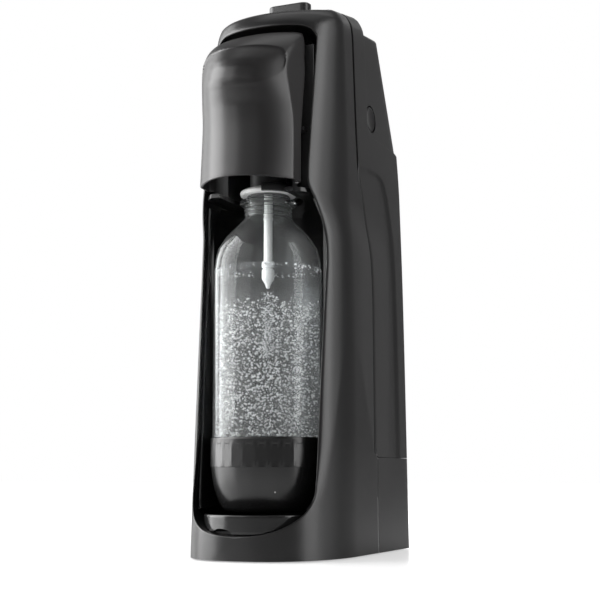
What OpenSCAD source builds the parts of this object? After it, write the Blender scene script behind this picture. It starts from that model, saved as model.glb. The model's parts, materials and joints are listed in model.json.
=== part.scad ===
// Countertop soda carbonator: a bottle hangs in an open bay under a tilting
// nozzle head, a gas cylinder stands behind it, and a button on top works the
// gas valve through a lever.  +Z is up, -Y is the front, the origin lies on the
// table under the middle of the outline.

/* [Housing] */
// Width of the housing across its foot
foot_w = 123; // [119:1:128]
// Width of the housing level with the top of the bay
waist_w = 114.6; // [112:0.2:117]
// Width of the housing across its shoulders
shoulder_w = 106; // [104:0.5:108]
// Height of the front edge of the housing top above the table
housing_h = 425; // [423:1:430]
// Rise of the housing top towards the rear, over its depth
top_slope = 0.215; // [0.1:0.005:0.24]
// How far the back lies behind the bottle axis
rear_reach = 152.5; // [150:0.5:158]
// How far the foot lies in front of the bottle axis
foot_reach = 55.2; // [54:0.2:58]
// How far the brow of the head lies in front of the bottle axis
brow_reach = 72; // [71:0.5:76]
// Thickness of the moulded shells
wall = 3; // [2.4:0.1:3.4]
// Radius of the upright rear corners
rear_corner_r = 7; // [6:0.5:12]
// Height of the upper edge of the foot, under the rear cover
foot_edge_z = 74; // [70:1:80]

/* [Bay] */
// Width of the housing left beside the bay opening, level with the bay's top
bay_side_w = 4.8; // [4.3:0.1:5.8]
// Room between the base cup of the bottle and the side of the bay opening
cup_room = 6.6; // [5.8:0.1:7.4]
// Height of the sill under the tray
sill_z = 18; // [16.5:0.5:19]
// Width of the housing left beside the opening around the head
arch_side_w = 10; // [9:0.5:10.5]
// Height of the housing left above the opening around the head
arch_cap_h = 20; // [18:0.5:21]
// Width of the trim ring inside the bay opening
bezel_w = 4.5; // [3.5:0.1:5]
// Inner radius of the liner behind the bottle
liner_r = 46; // [45:0.5:47]
// Thickness of the liner
liner_wall = 2.5; // [2:0.1:3]

/* [Head] */
// Gap between each side of the head panel and the opening around it
hood_gap = 3; // [2:0.5:4]
// Height of the lower edge of the head panel
hood_z = 274; // [273:0.5:277]
// Thickness of the head panel
hood_wall = 2.5; // [2:0.1:3]
// Height of the tilt pivot of the nozzle head
pivot_z = 300; // [299:0.5:302]
// Radius of the trunnions of the nozzle head
trunnion_r = 4; // [3.5:0.1:5]

/* [Bottle] */
// Outer radius of the bottle
bottle_r = 41; // [40:0.2:41.6]
// Height of the underside of the bottle above the table
bottle_z = 40; // [38.5:0.5:42]
// Height of the mouth of the bottle above the table
mouth_z = 270; // [268:0.5:271]
// Thickness of the bottle wall
bottle_wall = 1.5; // [1:0.1:2.2]
// Height of the water surface above the table
water_z = 215; // [190:1:222]
// Outer radius of the neck
neck_r = 17.5; // [16.5:0.1:18]
// Number of flats around the base cup
cup_flats = 28; // [20:1:36]
// Outer radius of the base cup
cup_r = 42.4; // [41.8:0.1:43]
// Height of the rim of the base cup above the table
cup_rim_z = 88; // [84:0.5:94]
// Radius of the gas tube that reaches into the bottle
tube_r = 3.3; // [2.8:0.1:3.8]

/* [Gas cylinder] */
// Outer radius of the gas cylinder
cylinder_r = 30; // [28:0.5:31]
// Distance of the cylinder axis behind the bottle axis
cylinder_back = 88; // [86:0.5:90]
// Height of the cylinder's rounded shoulder
cylinder_shoulder_h = 22; // [16:1:42]
// Thickness of the wall of the gas cylinder
cylinder_wall = 3; // [2:0.5:5]
// Radius of the threaded valve stem of the cylinder
valve_r = 10.5; // [9.5:0.1:11.5]

/* [Button] */
// Width of the push button
button_w = 34.6; // [30:0.2:36]
// Depth of the push button
button_d = 15; // [13:0.5:16]
// Height of the button top above the housing top
button_rise = 15; // [13:0.5:18]
// Travel of the push button
button_travel = 6; // [4:0.5:6.5]
// Radius of the button stem
stem_r = 3.4; // [3:0.1:3.5]
// Distance of the lever pivot behind the button axis
lever_arm = 63.5; // [62:0.5:65]
// Radius of the side latch buttons
latch_r = 10.2; // [8.5:0.1:11]

/* [Clearances] */
// Radial clearance of a shaft in its bore
running = 0.06; // [0.03:0.01:0.09]
// Gap between pieces that seat on each other or pass each other
seat_gap = 0.3; // [0.2:0.05:0.4]
// Width of the seam between the front housing and the rear cover
seam_gap = 1; // [0.8:0.1:1.4]
// Gap between the drip tray and the edge of the opening
tray_gap = 0.6; // [0.4:0.1:1]

/* [Hidden] */
$fn = 96;

far = 300;                                     // longer than anything it cuts
bottle_y = (brow_reach - rear_reach) / 2;      // centres the outline on the origin
cyl_y = bottle_y + cylinder_back;
rear_y = bottle_y + rear_reach;
plan_y = bottle_y + 26.4;                      // where the curved front meets the sides
button_y = bottle_y + 41.5;

// ---- outline of the housing, by height ----
foot_h = 0.8;
bay_top_z = 268;
crest_z = housing_h - 80;                      // from here the front leans back
brow_share = 32 / 77;                          // height of the brow between bay and crest
brow_z = bay_top_z + brow_share * (crest_z - bay_top_z);
shoulder_z = housing_h - 40;
head_room = 91;                                // over the deck, for the valve and the lever
deck_z = housing_h - head_room;
front_power = 2.55;
front_len = foot_reach + 26.4;
half_widths = [[0, foot_w / 2], [215, waist_w / 2 + 1.2], [bay_top_z + 20, waist_w / 2 - 0.7],
               [crest_z, shoulder_w / 2 + 2], [shoulder_z, shoulder_w / 2 + 0.7],
               [housing_h - 21, shoulder_w / 2], [housing_h - 12, shoulder_w / 2 - 1.2],
               [housing_h - 8.8, shoulder_w / 2 - 2.5], [housing_h - 5.9, shoulder_w / 2 - 4.3],
               [housing_h - 3.8, shoulder_w / 2 - 6], [housing_h - 2.2, shoulder_w / 2 - 8.1],
               [housing_h - 0.9, shoulder_w / 2 - 10.2], [housing_h, shoulder_w / 2 - 13.5]];
reaches = [[0, front_len], [215, front_len - 6.5], [bay_top_z, front_len - 10.3],
           [brow_z, front_len - 15.5], [crest_z, front_len - 24.5], [housing_h - 21, front_len - 38],
           [housing_h - 12, front_len - 44], [housing_h - 8.8, front_len - 49],
           [housing_h - 5.9, front_len - 54.7], [housing_h - 3.8, front_len - 60.7],
           [housing_h - 2.2, front_len - 66.4], [housing_h - 0.9, front_len - 72],
           [housing_h, front_len - 79]];
backs = [[0, rear_y], [crest_z - 55, rear_y], [crest_z, rear_y - 5.5], [housing_h, rear_y - 40]];
powers = [[shoulder_z, front_power], [housing_h - 12, 2.1], [housing_h, 2]];
front_steps = 36;
corner_steps = 5;

function bend(c, power) = sign(c) * pow(abs(c), 2 / power);
function section(z, inset) = let (
    hw = lookup(z, half_widths) - inset,
    reach = max(lookup(z, reaches) - inset, 1),
    back = lookup(z, backs) - inset,
    r = max(rear_corner_r - inset, 1))
  concat(
    [for (i = [0 : front_steps]) let (a = 180 + 180 * i / front_steps)
      [hw * bend(cos(a), lookup(z, powers)), plan_y + reach * sin(a), z]],
    [for (i = [0 : corner_steps]) let (a = 90 * i / corner_steps)
      [hw - r + r * cos(a), back - r + r * sin(a), z]],
    [for (i = [0 : corner_steps]) let (a = 90 + 90 * i / corner_steps)
      [r - hw + r * cos(a), back - r + r * sin(a), z]]);

// A closed solid through a stack of rings that all have as many points
module loft(rings) {
  n = len(rings[0]);
  last = len(rings) - 1;
  points = [for (ring = rings) each ring];
  sides = [for (k = [0 : last - 1], i = [0 : n - 1]) let (
      a = k * n + i, b = k * n + (i + 1) % n)
    each [[a, a + n, b], [b, a + n, b + n]]];
  caps = [[for (i = [0 : n - 1]) i], [for (i = [n - 1 : -1 : 0]) last * n + i]];
  polyhedron(points, concat(sides, caps));
}

body_levels = [foot_h, 60, 140, 215, bay_top_z, brow_z, crest_z, shoulder_z, housing_h - 21,
               housing_h - 12, housing_h - 8.8, housing_h - 5.9, housing_h - 3.8,
               housing_h - 2.2, housing_h - 0.9, housing_h];
top_front_y = plan_y + 79 - front_len;         // front edge of the sloping top
function lift(y, z) = top_slope * max(0, y - top_front_y)
  * max(0, z - shoulder_z) / (housing_h - shoulder_z);

// The solid inside the outer skin, "inset" deep; "sink" lowers its top
module body_solid(inset, sink = 0, bottom = foot_h) {
  levels = [for (z = body_levels) z == foot_h ? bottom : z];
  loft([for (z = levels) [for (p = section(z, inset))
    [p[0], p[1], lift(p[1], z) + (z < housing_h - 22 ? z : z - sink)]]]);
}

// A slab across the whole width with the given outline in the Y-Z plane
module side_slab(outline) {
  rotate([90, 0, 90]) translate([0, 0, -far / 2]) linear_extrude(far) polygon(outline);
}

// ---- seam between front housing and rear cover ----
function fy(v) = bottle_y + v;                 // a place behind (+) the bottle axis
pocket_back = 74;                              // where the seam turns back at the foot
seam_line = [[fy(42.8), housing_h + 20], [fy(42.8), crest_z], [fy(45), brow_z], [fy(53.5), 276],
             [fy(58.2), 256], [fy(66.5), 225], [fy(67.5), 205],
             [fy(65.5), foot_edge_z + 9], [fy(66.5), foot_edge_z + 4],
             [fy(pocket_back - 4.5), foot_edge_z + 1], [fy(pocket_back), foot_edge_z]];
tongue_w = 60;                                 // part of the housing top behind the button
tongue_y = button_y + button_d / 2 + 7;
tongue_z = housing_h - 20;

module front_region(grow, drop) {
  side_slab(concat([[-far, housing_h + 20]],
    [for (p = seam_line) [p[0] + grow, p[1] + drop]],
    [[far, foot_edge_z + drop], [far, -far], [-far, -far]]));
  translate([-tongue_w / 2 - grow, -far, tongue_z])
    cube([tongue_w + 2 * grow, far + tongue_y + grow, far]);
}

// ---- outline of the bay opening and of the arch around the head ----
bay_w = waist_w - 2 * bay_side_w;
bay_foot_w = 2 * (cup_r + cup_room);
arch_w = shoulder_w - 2 * arch_side_w;
arch_top_z = housing_h - arch_cap_h;
u_h = 36;                                      // height of the rounded lower corners
u_power = 2.5;
neck_in_z = 230;                               // where the opening starts to narrow
arch_r = 16;
arc_steps = 10;
function half_opening(g) = concat(
  [for (i = [0 : arc_steps]) let (a = 90 - 90 * i / arc_steps)
    [(bay_foot_w / 2 + g) * bend(cos(a), u_power), sill_z + u_h - (u_h + g) * bend(sin(a), u_power)]],
  [[bay_w / 2 - 1 + g, 146], [bay_w / 2 + g, neck_in_z - 10]],
  [for (i = [0 : arc_steps]) let (t = i / arc_steps)
    [arch_w / 2 + g + (bay_w - arch_w) / 2 * (1 + cos(180 * t)) / 2,
     neck_in_z + (bay_top_z - neck_in_z) * t]],
  [for (i = [0 : arc_steps]) let (a = 90 * i / arc_steps)
    [arch_w / 2 - arch_r + (arch_r + g) * cos(a), arch_top_z - arch_r + (arch_r + g) * sin(a)]]);

module opening(g, y0, y1) {
  half = half_opening(g);
  translate([0, y1, 0]) rotate([90, 0, 0]) linear_extrude(y1 - y0)
    polygon(concat(half, [for (i = [len(half) - 1 : -1 : 0]) [-half[i][0], half[i][1]]]));
}

module at_bottle() { translate([0, bottle_y, 0]) children(); }
module at_cylinder() { translate([0, cyl_y, 0]) children(); }
module ring(r1, r2, z0, z1) {
  translate([0, 0, z0]) difference() {
    cylinder(r = r2, h = z1 - z0);
    translate([0, 0, -1]) cylinder(r = r1, h = z1 - z0 + 2);
  }
}
module disc(r, z0, z1) { translate([0, 0, z0]) cylinder(r = r, h = z1 - z0); }
module block(x0, x1, y0, y1, z0, z1) {
  translate([x0, y0, z0]) cube([x1 - x0, y1 - y0, z1 - z0]);
}
module both_sides() { children(); mirror([1, 0, 0]) children(); }

// ---- shells ----
flange = 3;
flange_back = fy(21);
module button_outline(grow) {
  r = 6;
  w = button_w / 2 + grow - r;
  d = button_d / 2 + grow - r;
  for (x = [-w, w], y = [-d, d]) translate([x, y]) circle(r = r);
  square([2 * w, 2 * (d + r)], center = true);
  square([2 * (w + r), 2 * d], center = true);
}

module front_housing() {
  color([0.17, 0.165, 0.165]) difference() {
    intersection() {
      union() {
        difference() {
          body_solid(0);
          body_solid(wall, wall, -1);
        }
        intersection() {
          body_solid(1.5);
          difference() {
            opening(flange, -far, flange_back);
            block(-far, far, -far, far, -1, bay_top_z + 6);
          }
        }
      }
      front_region(0, 0);
    }
    opening(0, -far, flange_back + 1);
    translate([0, button_y, housing_h - 12]) linear_extrude(30) button_outline(seat_gap);
  }
}

pocket_y = fy(pocket_back);                    // the block behind the cover shows from here
ledge_z = deck_z;
rebate = 1.3;                                  // wall left where the cover laps the block
cover_wall = 2.4;
module rear_cover() {
  color([0.15, 0.145, 0.145]) difference() {
    body_solid(0);
    body_solid(wall, wall, -1);
    intersection() {
      body_solid(rebate, rebate);
      block(-far, far, pocket_y - 4, far, ledge_z - 12, far * 2);
    }
    front_region(seam_gap, seat_gap);
    side_slab([[pocket_y, far * 2], [pocket_y, ledge_z + 10], [pocket_y + 3, ledge_z + 4],
               [pocket_y + 9, ledge_z], [far, ledge_z + 3.6], [far, far * 2]]);
  }
}

module base_plate() {
  plan = [for (p = section(3, wall + seat_gap)) [p[0], p[1]]];
  color([0.09, 0.09, 0.09]) difference() {
    translate([0, 0, foot_h]) linear_extrude(base_t) polygon(plan);
    for (p = foot_places) translate([p[0], p[1], foot_h - 1]) cylinder(r = peg_r, h = base_t + 2);
    for (p = screw_places) translate([p[0], p[1], foot_h - 1]) cylinder(r = screw_r, h = base_t + 2);
  }
}
base_t = 3;
base_top = foot_h + base_t;
peg_r = 3;
screw_r = 2;
foot_places = [[-42, fy(0)], [42, fy(0)], [-46, rear_y - 18], [46, rear_y - 18]];
screw_places = [[-40, fy(78)], [40, fy(78)]];

module feet() {
  color([0.06, 0.06, 0.06]) for (p = foot_places) translate([p[0], p[1], 0]) {
    cylinder(r = 7.5, h = foot_h);
    cylinder(r = peg_r, h = base_top);
  }
}

screw_head = 0.5;                              // flat heads, clear of the table
module base_screws() {
  color([0.6, 0.6, 0.62]) for (p = screw_places) translate([p[0], p[1], foot_h]) {
    cylinder(r = screw_r, h = base_t + 4);
    translate([0, 0, -screw_head]) difference() {
      cylinder(r = 3.6, h = screw_head);
      translate([0, 0, -1]) cylinder(r = 1.2, h = 1 + screw_head / 2);
    }
  }
}

// ---- bottle bay ----
bezel_back = fy(-1);
module bay_plan(r, front) {
  intersection() {
    union() {
      circle(r = r);
      translate([-r, -far]) square([2 * r, far]);
    }
    translate([-far, front]) square(2 * far);
  }
}
module bay_liner() {
  color([0.05, 0.05, 0.055]) at_bottle() translate([0, 0, base_top])
    linear_extrude(bay_top_z - base_top) difference() {
      bay_plan(liner_r + liner_wall, bezel_back - bottle_y);
      bay_plan(liner_r, bezel_back - bottle_y - 1);
    }
}

module bay_bezel() {
  color([0.07, 0.07, 0.075]) intersection() {
    body_solid(wall + seat_gap);
    difference() {
      opening(-seat_gap, -far, bezel_back);
      opening(-bezel_w - seat_gap, -far - 1, bezel_back + 1);
      block(-far, far, -far, far, -1, tray_rim_z + 2);
      block(-far, far, -far, far, bay_top_z - 3, housing_h);
    }
  }
}

floor_top = sill_z + 0.2;
// Plan of the space inside the liner and the rounded foot in front of it
module foot_plan(r, reach) {
  intersection() {
    circle(r = r);
    translate([-far, 0]) square(2 * far);
  }
  polygon([for (i = [0 : 40]) let (a = 180 + 180 * i / 40)
    [r * bend(cos(a), 2.3), reach * sin(a)]]);
}
module bay_floor() {
  r = liner_r - seat_gap;
  reach = tray_reach - 2;
  color([0.06, 0.06, 0.065]) at_bottle() difference() {
    translate([0, 0, base_top]) linear_extrude(floor_top - base_top) foot_plan(r, reach);
    translate([0, 0, base_top - 1]) linear_extrude(floor_top - base_top - 1)
      foot_plan(r - liner_wall, reach - liner_wall);
  }
}

roof_t = 3;
roof_hole_r = 27;
module bay_roof() {
  color([0.06, 0.06, 0.065]) difference() {
    intersection() {
      body_solid(wall + seat_gap);
      block(-arch_w / 2 + seat_gap, arch_w / 2 - seat_gap, fy(-30), fy(48.2),
            bay_top_z, bay_top_z + roof_t);
    }
    at_bottle() {
      disc(roof_hole_r, bay_top_z - 1, bay_top_z + roof_t + 1);
      block(-roof_hole_r, roof_hole_r, -far, 0, bay_top_z - 1, bay_top_z + roof_t + 1);
    }
  }
}

// ---- drip tray ----
tray_rim_z = 32.5;
tray_wall = 2;
tray_reach = 52;
notch_x = -13;                                 // finger notch under the front of the tray
module tray_block(inset, z0, z1) {
  intersection() {
    opening(-tray_gap - inset, -far, fy(liner_r - 2 - inset));
    at_bottle() translate([0, 0, z0]) linear_extrude(z1 - z0)
      foot_plan(liner_r - 2 - inset, tray_reach - inset);
  }
}
module drip_tray() {
  color([0.08, 0.08, 0.085]) difference() {
    tray_block(0, floor_top + seat_gap, tray_rim_z);
    tray_block(tray_wall, floor_top + seat_gap + tray_wall, tray_rim_z + 5);
    translate([notch_x, fy(-tray_reach) - 1, floor_top]) rotate([-90, 0, 0])
      cylinder(r = 4, h = 8);
  }
}

// ---- head panel ----
hood_w = arch_w - 2 * hood_gap;
hood_top = arch_top_z - 6;
function up_hood(share) = hood_z + share * (hood_top - hood_z);
// The panel's middle line: share of its height, and how far it lies behind the brow
hood_shape = [[0, 5.6], [0.096, 7.2], [0.288, 8.6], [0.416, 7], [0.512, 3.2], [0.584, 0.4],
              [0.64, 1], [0.696, 3.5], [0.752, 8.5], [0.808, 16], [0.864, 27], [0.92, 40],
              [0.968, 54], [1, 68]];
hood_profile = [for (p = hood_shape) [up_hood(p[0]), brow_reach - p[1]]];
hood_round_z = up_hood(0.808);                 // from here the panel's sides curve in
hood_round_h = hood_top - hood_round_z + 2;
hood_centre = -19;                             // where the panel's curve meets its sides
hood_crown = 6;                                // least depth of that curve, at the top
hood_back_foot = -13;
hood_back_top = 8;
hood_power = 2.3;
hood_steps = 32;
function hood_half_w(z) = hood_w / 2 - (z < hood_round_z ? 0
  : 14 * (1 - sqrt(max(0, 1 - pow((z - hood_round_z) / hood_round_h, 2)))));
function hood_ring(z, front, inset) = let (
    hw = hood_half_w(z) - inset,
    back = lookup(z, [[hood_z, hood_back_foot], [hood_top, hood_back_top]]) + (inset > 0 ? 1 : 0),
    c = max(hood_centre, hood_crown - front),
    len = front - inset + c)
  concat([for (i = [0 : hood_steps]) let (a = 180 + 180 * i / hood_steps)
      [hw * bend(cos(a), hood_power), bottle_y + c + len * sin(a), z]],
    [[hw, bottle_y + back, z], [-hw, bottle_y + back, z]]);

module hood_solid(inset, sink) {
  loft([for (p = hood_profile) hood_ring(p[0] - (p[0] == hood_z && inset > 0 ? 1 : 0)
    - (p[0] > hood_round_z + 5 ? sink : 0), p[1], inset)]);
}
module head_panel() {
  color([0.2, 0.195, 0.195]) difference() {
    hood_solid(0, 0);
    hood_solid(hood_wall, hood_wall);
  }
}

// ---- frame inside the head, and the chassis ----
cheek_x = 27;
cheek_t = 4;
bulkhead_from = 49;                            // behind the bottle axis, clear of the liner
bulkhead_y = fy(bulkhead_from);
bulkhead_t = 2.5;
bulkhead_back = bulkhead_y + bulkhead_t;
bridge_z = pivot_z + 16;
module head_frame() {
  color([0.1, 0.1, 0.105]) difference() {
    union() {
      both_sides() block(cheek_x, cheek_x + cheek_t, fy(-15), bulkhead_y,
                         bay_top_z + roof_t, bridge_z);
      block(-cheek_x, cheek_x, bulkhead_y - 3, bulkhead_y, bay_top_z + roof_t, bridge_z);
      block(-hood_w / 2 + hood_wall + seat_gap, hood_w / 2 - hood_wall - seat_gap,
            fy(-19), bulkhead_y, bridge_z, bridge_z + 3);
    }
    at_bottle() translate([-far / 2, 0, pivot_z]) rotate([0, 90, 0])
      cylinder(r = trunnion_r + running, h = far);
    block(30, 39, fy(-4), fy(13), bridge_z - 1, bridge_z + 4);
    hose_run(hose_r + 1);
  }
}

deck_t = 4;
deck_top = deck_z + deck_t;
valve_room = 54;                               // from the deck up to the lever
lever_z = deck_top + valve_room;               // underside of the lever
lever_h = 6;
module chassis() {
  w = arch_w / 2 - 1;
  color([0.11, 0.11, 0.115]) difference() {
    union() {
      block(-w, w, bulkhead_y, bulkhead_back, base_top, lever_z + lever_h + 8);
      both_sides() block(w - 3, w, bulkhead_back, bulkhead_back + 8, base_top, deck_z);
    }
    block(-7, 7, bulkhead_y - 1, bulkhead_back + 1, lever_z - 7, lever_z + lever_h + 1.5);
    translate([hose_x, bulkhead_y - 1, hose_z]) rotate([-90, 0, 0]) cylinder(r = 5, h = 10);
  }
}

module deck() {
  color([0.11, 0.11, 0.115]) difference() {
    intersection() {
      body_solid(wall + seat_gap);
      block(-far, far, bulkhead_back, far, deck_z, deck_top);
    }
    at_cylinder() disc(valve_r + 4.5, deck_z - 1, deck_top + 1);
  }
}

// Upper block behind the seam: its rear leans forward and its corners are tight
block_top = housing_h - 4.5;                   // at its front edge
block_rise = 4.7;                              // how far its top climbs towards the rear
block_half_w = shoulder_w / 2 + 0.3;           // at its foot
block_lean = 0.402;                            // forward lean of its rear, run over rise
block_corner_r = 5.2;
block_back = 6.7;                              // how far its foot stays inside the back
function block_w_at(z) = block_half_w - (z - deck_top) * 0.033;
function block_ring(z, inset, front, rise = 0) = let (
    hw = block_w_at(z) - inset,
    back = rear_y - block_back - (z + rise - deck_top) * block_lean - inset,
    r = block_corner_r - inset,
    corner = [for (i = [0 : 3]) let (a = 30 * i) [hw - r + r * cos(a), back - r + r * sin(a)]],
    plan = concat([[-hw, front], [hw, front]], corner, [for (p = backwards(corner)) [-p[0], p[1]]]))
  [for (p = plan) [p[0], p[1], z + rise * (p[1] - pocket_y) / (back - pocket_y)]];
module block_solid(inset, front, z0, z1) {
  edge = 2;
  loft([block_ring(z0, inset, front), block_ring(z1 - edge, inset, front, block_rise),
        block_ring(z1 - edge * 0.3, inset + 0.6, front, block_rise),
        block_ring(z1, inset + edge, front, block_rise)]);
}
module valve_block_cover() {
  t = cover_wall;
  color([0.13, 0.125, 0.125]) difference() {
    union() {
      difference() {
        intersection() {
          body_solid(wall + seat_gap, wall + seat_gap);
          block(-far, far, bulkhead_back + seat_gap, pocket_y + 5, deck_top, far * 2);
        }
        body_solid(wall + seat_gap + t, wall + seat_gap + t);
        block(-far, far, pocket_y, far, block_top - t, far * 2);
      }
      intersection() {
        body_solid(wall + seat_gap, wall + seat_gap);
        block(-far, far, pocket_y - t, pocket_y, block_top - 8, far * 2);
      }
      difference() {
        block_solid(0, pocket_y + seat_gap, deck_top, block_top);
        block_solid(t - 0.4, pocket_y - 20, deck_top - 1, block_top - t);
      }
    }
    block(-40, 40, pocket_y - 1, pocket_y + 6, deck_top - 1, housing_h - wall - t - 4);
    both_sides() translate([0, latch_y, latch_z]) rotate([0, 90, 0])
      cylinder(r = latch_r + seat_gap, h = far);
  }
}

// ---- gas valve ----
holder_top = deck_top + 40;
valve_top = holder_top - 6;
pin_r = 2;
relief_x = 21;                                 // flat on the holder's side
port_reach = 26;                               // gas port, in front of the cylinder axis
module valve_holder() {
  color([0.62, 0.6, 0.56]) difference() {
    union() {
      at_cylinder() disc(20, deck_top, holder_top);
      at_cylinder() block(-24, 24, -10, 10, deck_top, deck_top + 8);
      translate([0, cyl_y - port_reach, hose_z]) rotate([-90, 0, 0])
        cylinder(r = 5, h = port_reach - 15);
      at_cylinder() block(12, relief_x, -12, 12, deck_top + 8, holder_top - 4);
    }
    at_cylinder() {
      disc(valve_r + running, deck_top - 1, valve_top + seat_gap + 2);
      disc(pin_r + 2, deck_top, holder_top + 1);
    }
    translate([0, cyl_y - port_reach - 1, hose_z]) rotate([-90, 0, 0])
      cylinder(r = 1.5, h = port_reach - 8);
  }
}
module valve_seal() {
  color([0.05, 0.05, 0.05]) at_cylinder()
    ring(pin_r + 2.5, valve_r - 0.5, valve_top + seat_gap, valve_top + seat_gap + 2);
}
module relief_valve() {
  color([0.75, 0.62, 0.3]) translate([relief_x + 5, cyl_y, deck_top + 20]) rotate([0, 90, 0]) {
    translate([0, 0, -5]) cylinder(r = 5, h = 9);
    cylinder(r = 6.5, h = 4, $fn = 6);
  }
}

neck_z = deck_z - 12;
cylinder_shoulder_z = neck_z - cylinder_shoulder_h;
neck_wall_r = 12;
neck_bore_r = 7;
neck_top = neck_z + 5;
function cylinder_crown(r, neck, top, angles) = [for (a = angles)
  [neck + (r - neck) * cos(a), cylinder_shoulder_z + (top - cylinder_shoulder_z) * sin(a)]];
module co2_cylinder() {
  bottom = base_top + 5;
  edge = 6;
  inner_r = cylinder_r - cylinder_wall;
  floor_z = bottom + 3 + cylinder_wall;
  quarter = [0 : 11.25 : 90];
  color([0.62, 0.64, 0.66]) at_cylinder() rotate_extrude() {
    polygon(concat([[0, bottom + 3], [16, bottom + 3], [20, bottom], [cylinder_r - edge, bottom]],
      [for (i = [1 : 6]) let (a = -90 + 15 * i)
        [cylinder_r - edge + edge * cos(a), bottom + edge + edge * sin(a)]],
      cylinder_crown(cylinder_r, neck_wall_r, neck_z, quarter),
      [[neck_wall_r, neck_top], [neck_bore_r, neck_top]],
      backwards(cylinder_crown(inner_r, neck_bore_r, neck_z - cylinder_wall, quarter)),
      [[inner_r, floor_z + edge], [inner_r - edge, floor_z], [0, floor_z]]));
  }
}
module cylinder_valve() {
  z0 = neck_top;
  color([0.78, 0.66, 0.36]) at_cylinder() difference() {
    union() {
      translate([0, 0, z0]) cylinder(r = 13, h = 5);
      disc(valve_r - 1, z0, deck_top + 1);
      disc(valve_r, deck_top + 1, valve_top);
    }
    disc(pin_r + running, valve_top - 16, valve_top + 1);
  }
}
module valve_pin() {
  color([0.8, 0.8, 0.82]) at_cylinder() {
    disc(pin_r, valve_top - 12, lever_z - seat_gap - 2);
    intersection() {
      translate([0, 0, lever_z - seat_gap - 4]) sphere(r = 4);
      disc(pin_r, lever_z - seat_gap - 2, lever_z);
    }
  }
}
module cylinder_rest() {
  color([0.1, 0.1, 0.1]) at_cylinder() {
    ring(cylinder_r - 9, cylinder_r + 4, base_top, base_top + 5);
    ring(cylinder_r + 1, cylinder_r + 4, base_top, base_top + 14);
  }
}

// ---- lever and button ----
lever_y = button_y + lever_arm;
lever_pin_r = 2;
pivot_lever_z = lever_z + lever_h / 2;
lever_w = 8;
module actuator_lever() {
  color([0.7, 0.7, 0.72]) difference() {
    union() {
      block(-lever_w / 2, lever_w / 2, button_y - 5, lever_y, lever_z, lever_z + lever_h);
      translate([-lever_w / 2, lever_y, pivot_lever_z]) rotate([0, 90, 0])
        cylinder(r = lever_h / 2 + 1.5, h = lever_w);
      translate([0, button_y, lever_z]) cylinder(r = 6, h = lever_h);
    }
    translate([-far / 2, lever_y, pivot_lever_z]) rotate([0, 90, 0])
      cylinder(r = lever_pin_r + running, h = far);
  }
}
ear_x = lever_w / 2 + seat_gap;
ear_t = 3;
module lever_bracket() {
  color([0.5, 0.5, 0.52]) difference() {
    union() {
      both_sides() block(ear_x, ear_x + ear_t, lever_y - 5, lever_y + 4.5, holder_top, pivot_lever_z + 4);
      both_sides() block(ear_x, ear_x + ear_t, cyl_y + 5, lever_y, holder_top, holder_top + 3);
    }
    translate([-far / 2, lever_y, pivot_lever_z]) rotate([0, 90, 0])
      cylinder(r = lever_pin_r, h = far);
  }
}
module lever_pin() {
  color([0.8, 0.8, 0.82]) translate([-ear_x - ear_t, lever_y, pivot_lever_z]) rotate([0, 90, 0])
    cylinder(r = lever_pin_r, h = 2 * (ear_x + ear_t));
}

guide_z = lever_z + lever_h + 4;
guide_t = 4;
button_top = housing_h + button_rise;
cap_wall = 3;
skirt_z = guide_z + guide_t + button_travel + 1;
module button_guide() {
  color([0.1, 0.1, 0.105]) difference() {
    union() {
      block(-20, 20, button_y - 12, bulkhead_y, guide_z, guide_z + guide_t);
      translate([0, button_y, 0]) disc(7, guide_z - 2, guide_z + guide_t);
    }
    translate([0, button_y, 0]) disc(stem_r + running, guide_z - 5, guide_z + 20);
  }
}
module push_button() {
  slope = 8;
  color([0.1, 0.1, 0.1]) translate([0, button_y, 0]) difference() {
    translate([0, 0, skirt_z]) linear_extrude(button_top + 3 - skirt_z) button_outline(0);
    translate([0, 0, skirt_z - 1]) linear_extrude(button_top - cap_wall - skirt_z + 1 - 1.5)
      button_outline(-2);
    translate([0, 0, button_top]) rotate([slope, 0, 0])
      translate([-far / 2, -far / 2, 0]) cube([far, far, 50]);
  }
}
stem_top = button_top - cap_wall - 1.5;
stem_foot = lever_z + lever_h + seat_gap;
module button_stem() {
  color([0.85, 0.85, 0.83]) translate([0, button_y, 0]) {
    disc(stem_r, stem_foot + 2, stem_top);
    intersection() {
      disc(stem_r, stem_foot, stem_foot + 2);
      translate([0, 0, stem_foot + 6]) sphere(r = 6);
    }
  }
}

// A coil of round wire about +Z, its ends ground flat by the caps
module coil(r, wire, z0, z1, turns) {
  sides = 6;
  per_turn = 14;
  steps = turns * per_turn;
  rise = z1 - z0 - 2 * wire;
  loft_along([for (k = [0 : steps]) let (a = 360 * k / per_turn)
    [r * cos(a), r * sin(a), z0 + wire + rise * k / steps]], wire, sides);
}
// A round tube along a list of points
module loft_along(path, r, sides) {
  last = len(path) - 1;
  function unit(v) = v / norm(v);
  function along(k) = unit(path[min(k + 1, last)] - path[max(k - 1, 0)]);
  function side(k) = let (t = along(k))
    unit(cross(t, abs(t[2]) > 0.9 ? [1, 0, 0] : [0, 0, 1]));
  rings = [for (k = [0 : last]) let (t = along(k), s = side(k), u = cross(s, t))
    [for (i = [0 : sides - 1]) let (a = 360 * i / sides)
      path[k] + r * cos(a) * s + r * sin(a) * u]];
  loft([for (k = [0 : last]) [for (i = [sides - 1 : -1 : 0]) rings[k][i]]]);
}
module button_spring() {
  color([0.75, 0.75, 0.76]) translate([0, button_y, 0])
    coil(stem_r + 0.9, 0.45, guide_z + guide_t, stem_top, 6);
}

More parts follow.
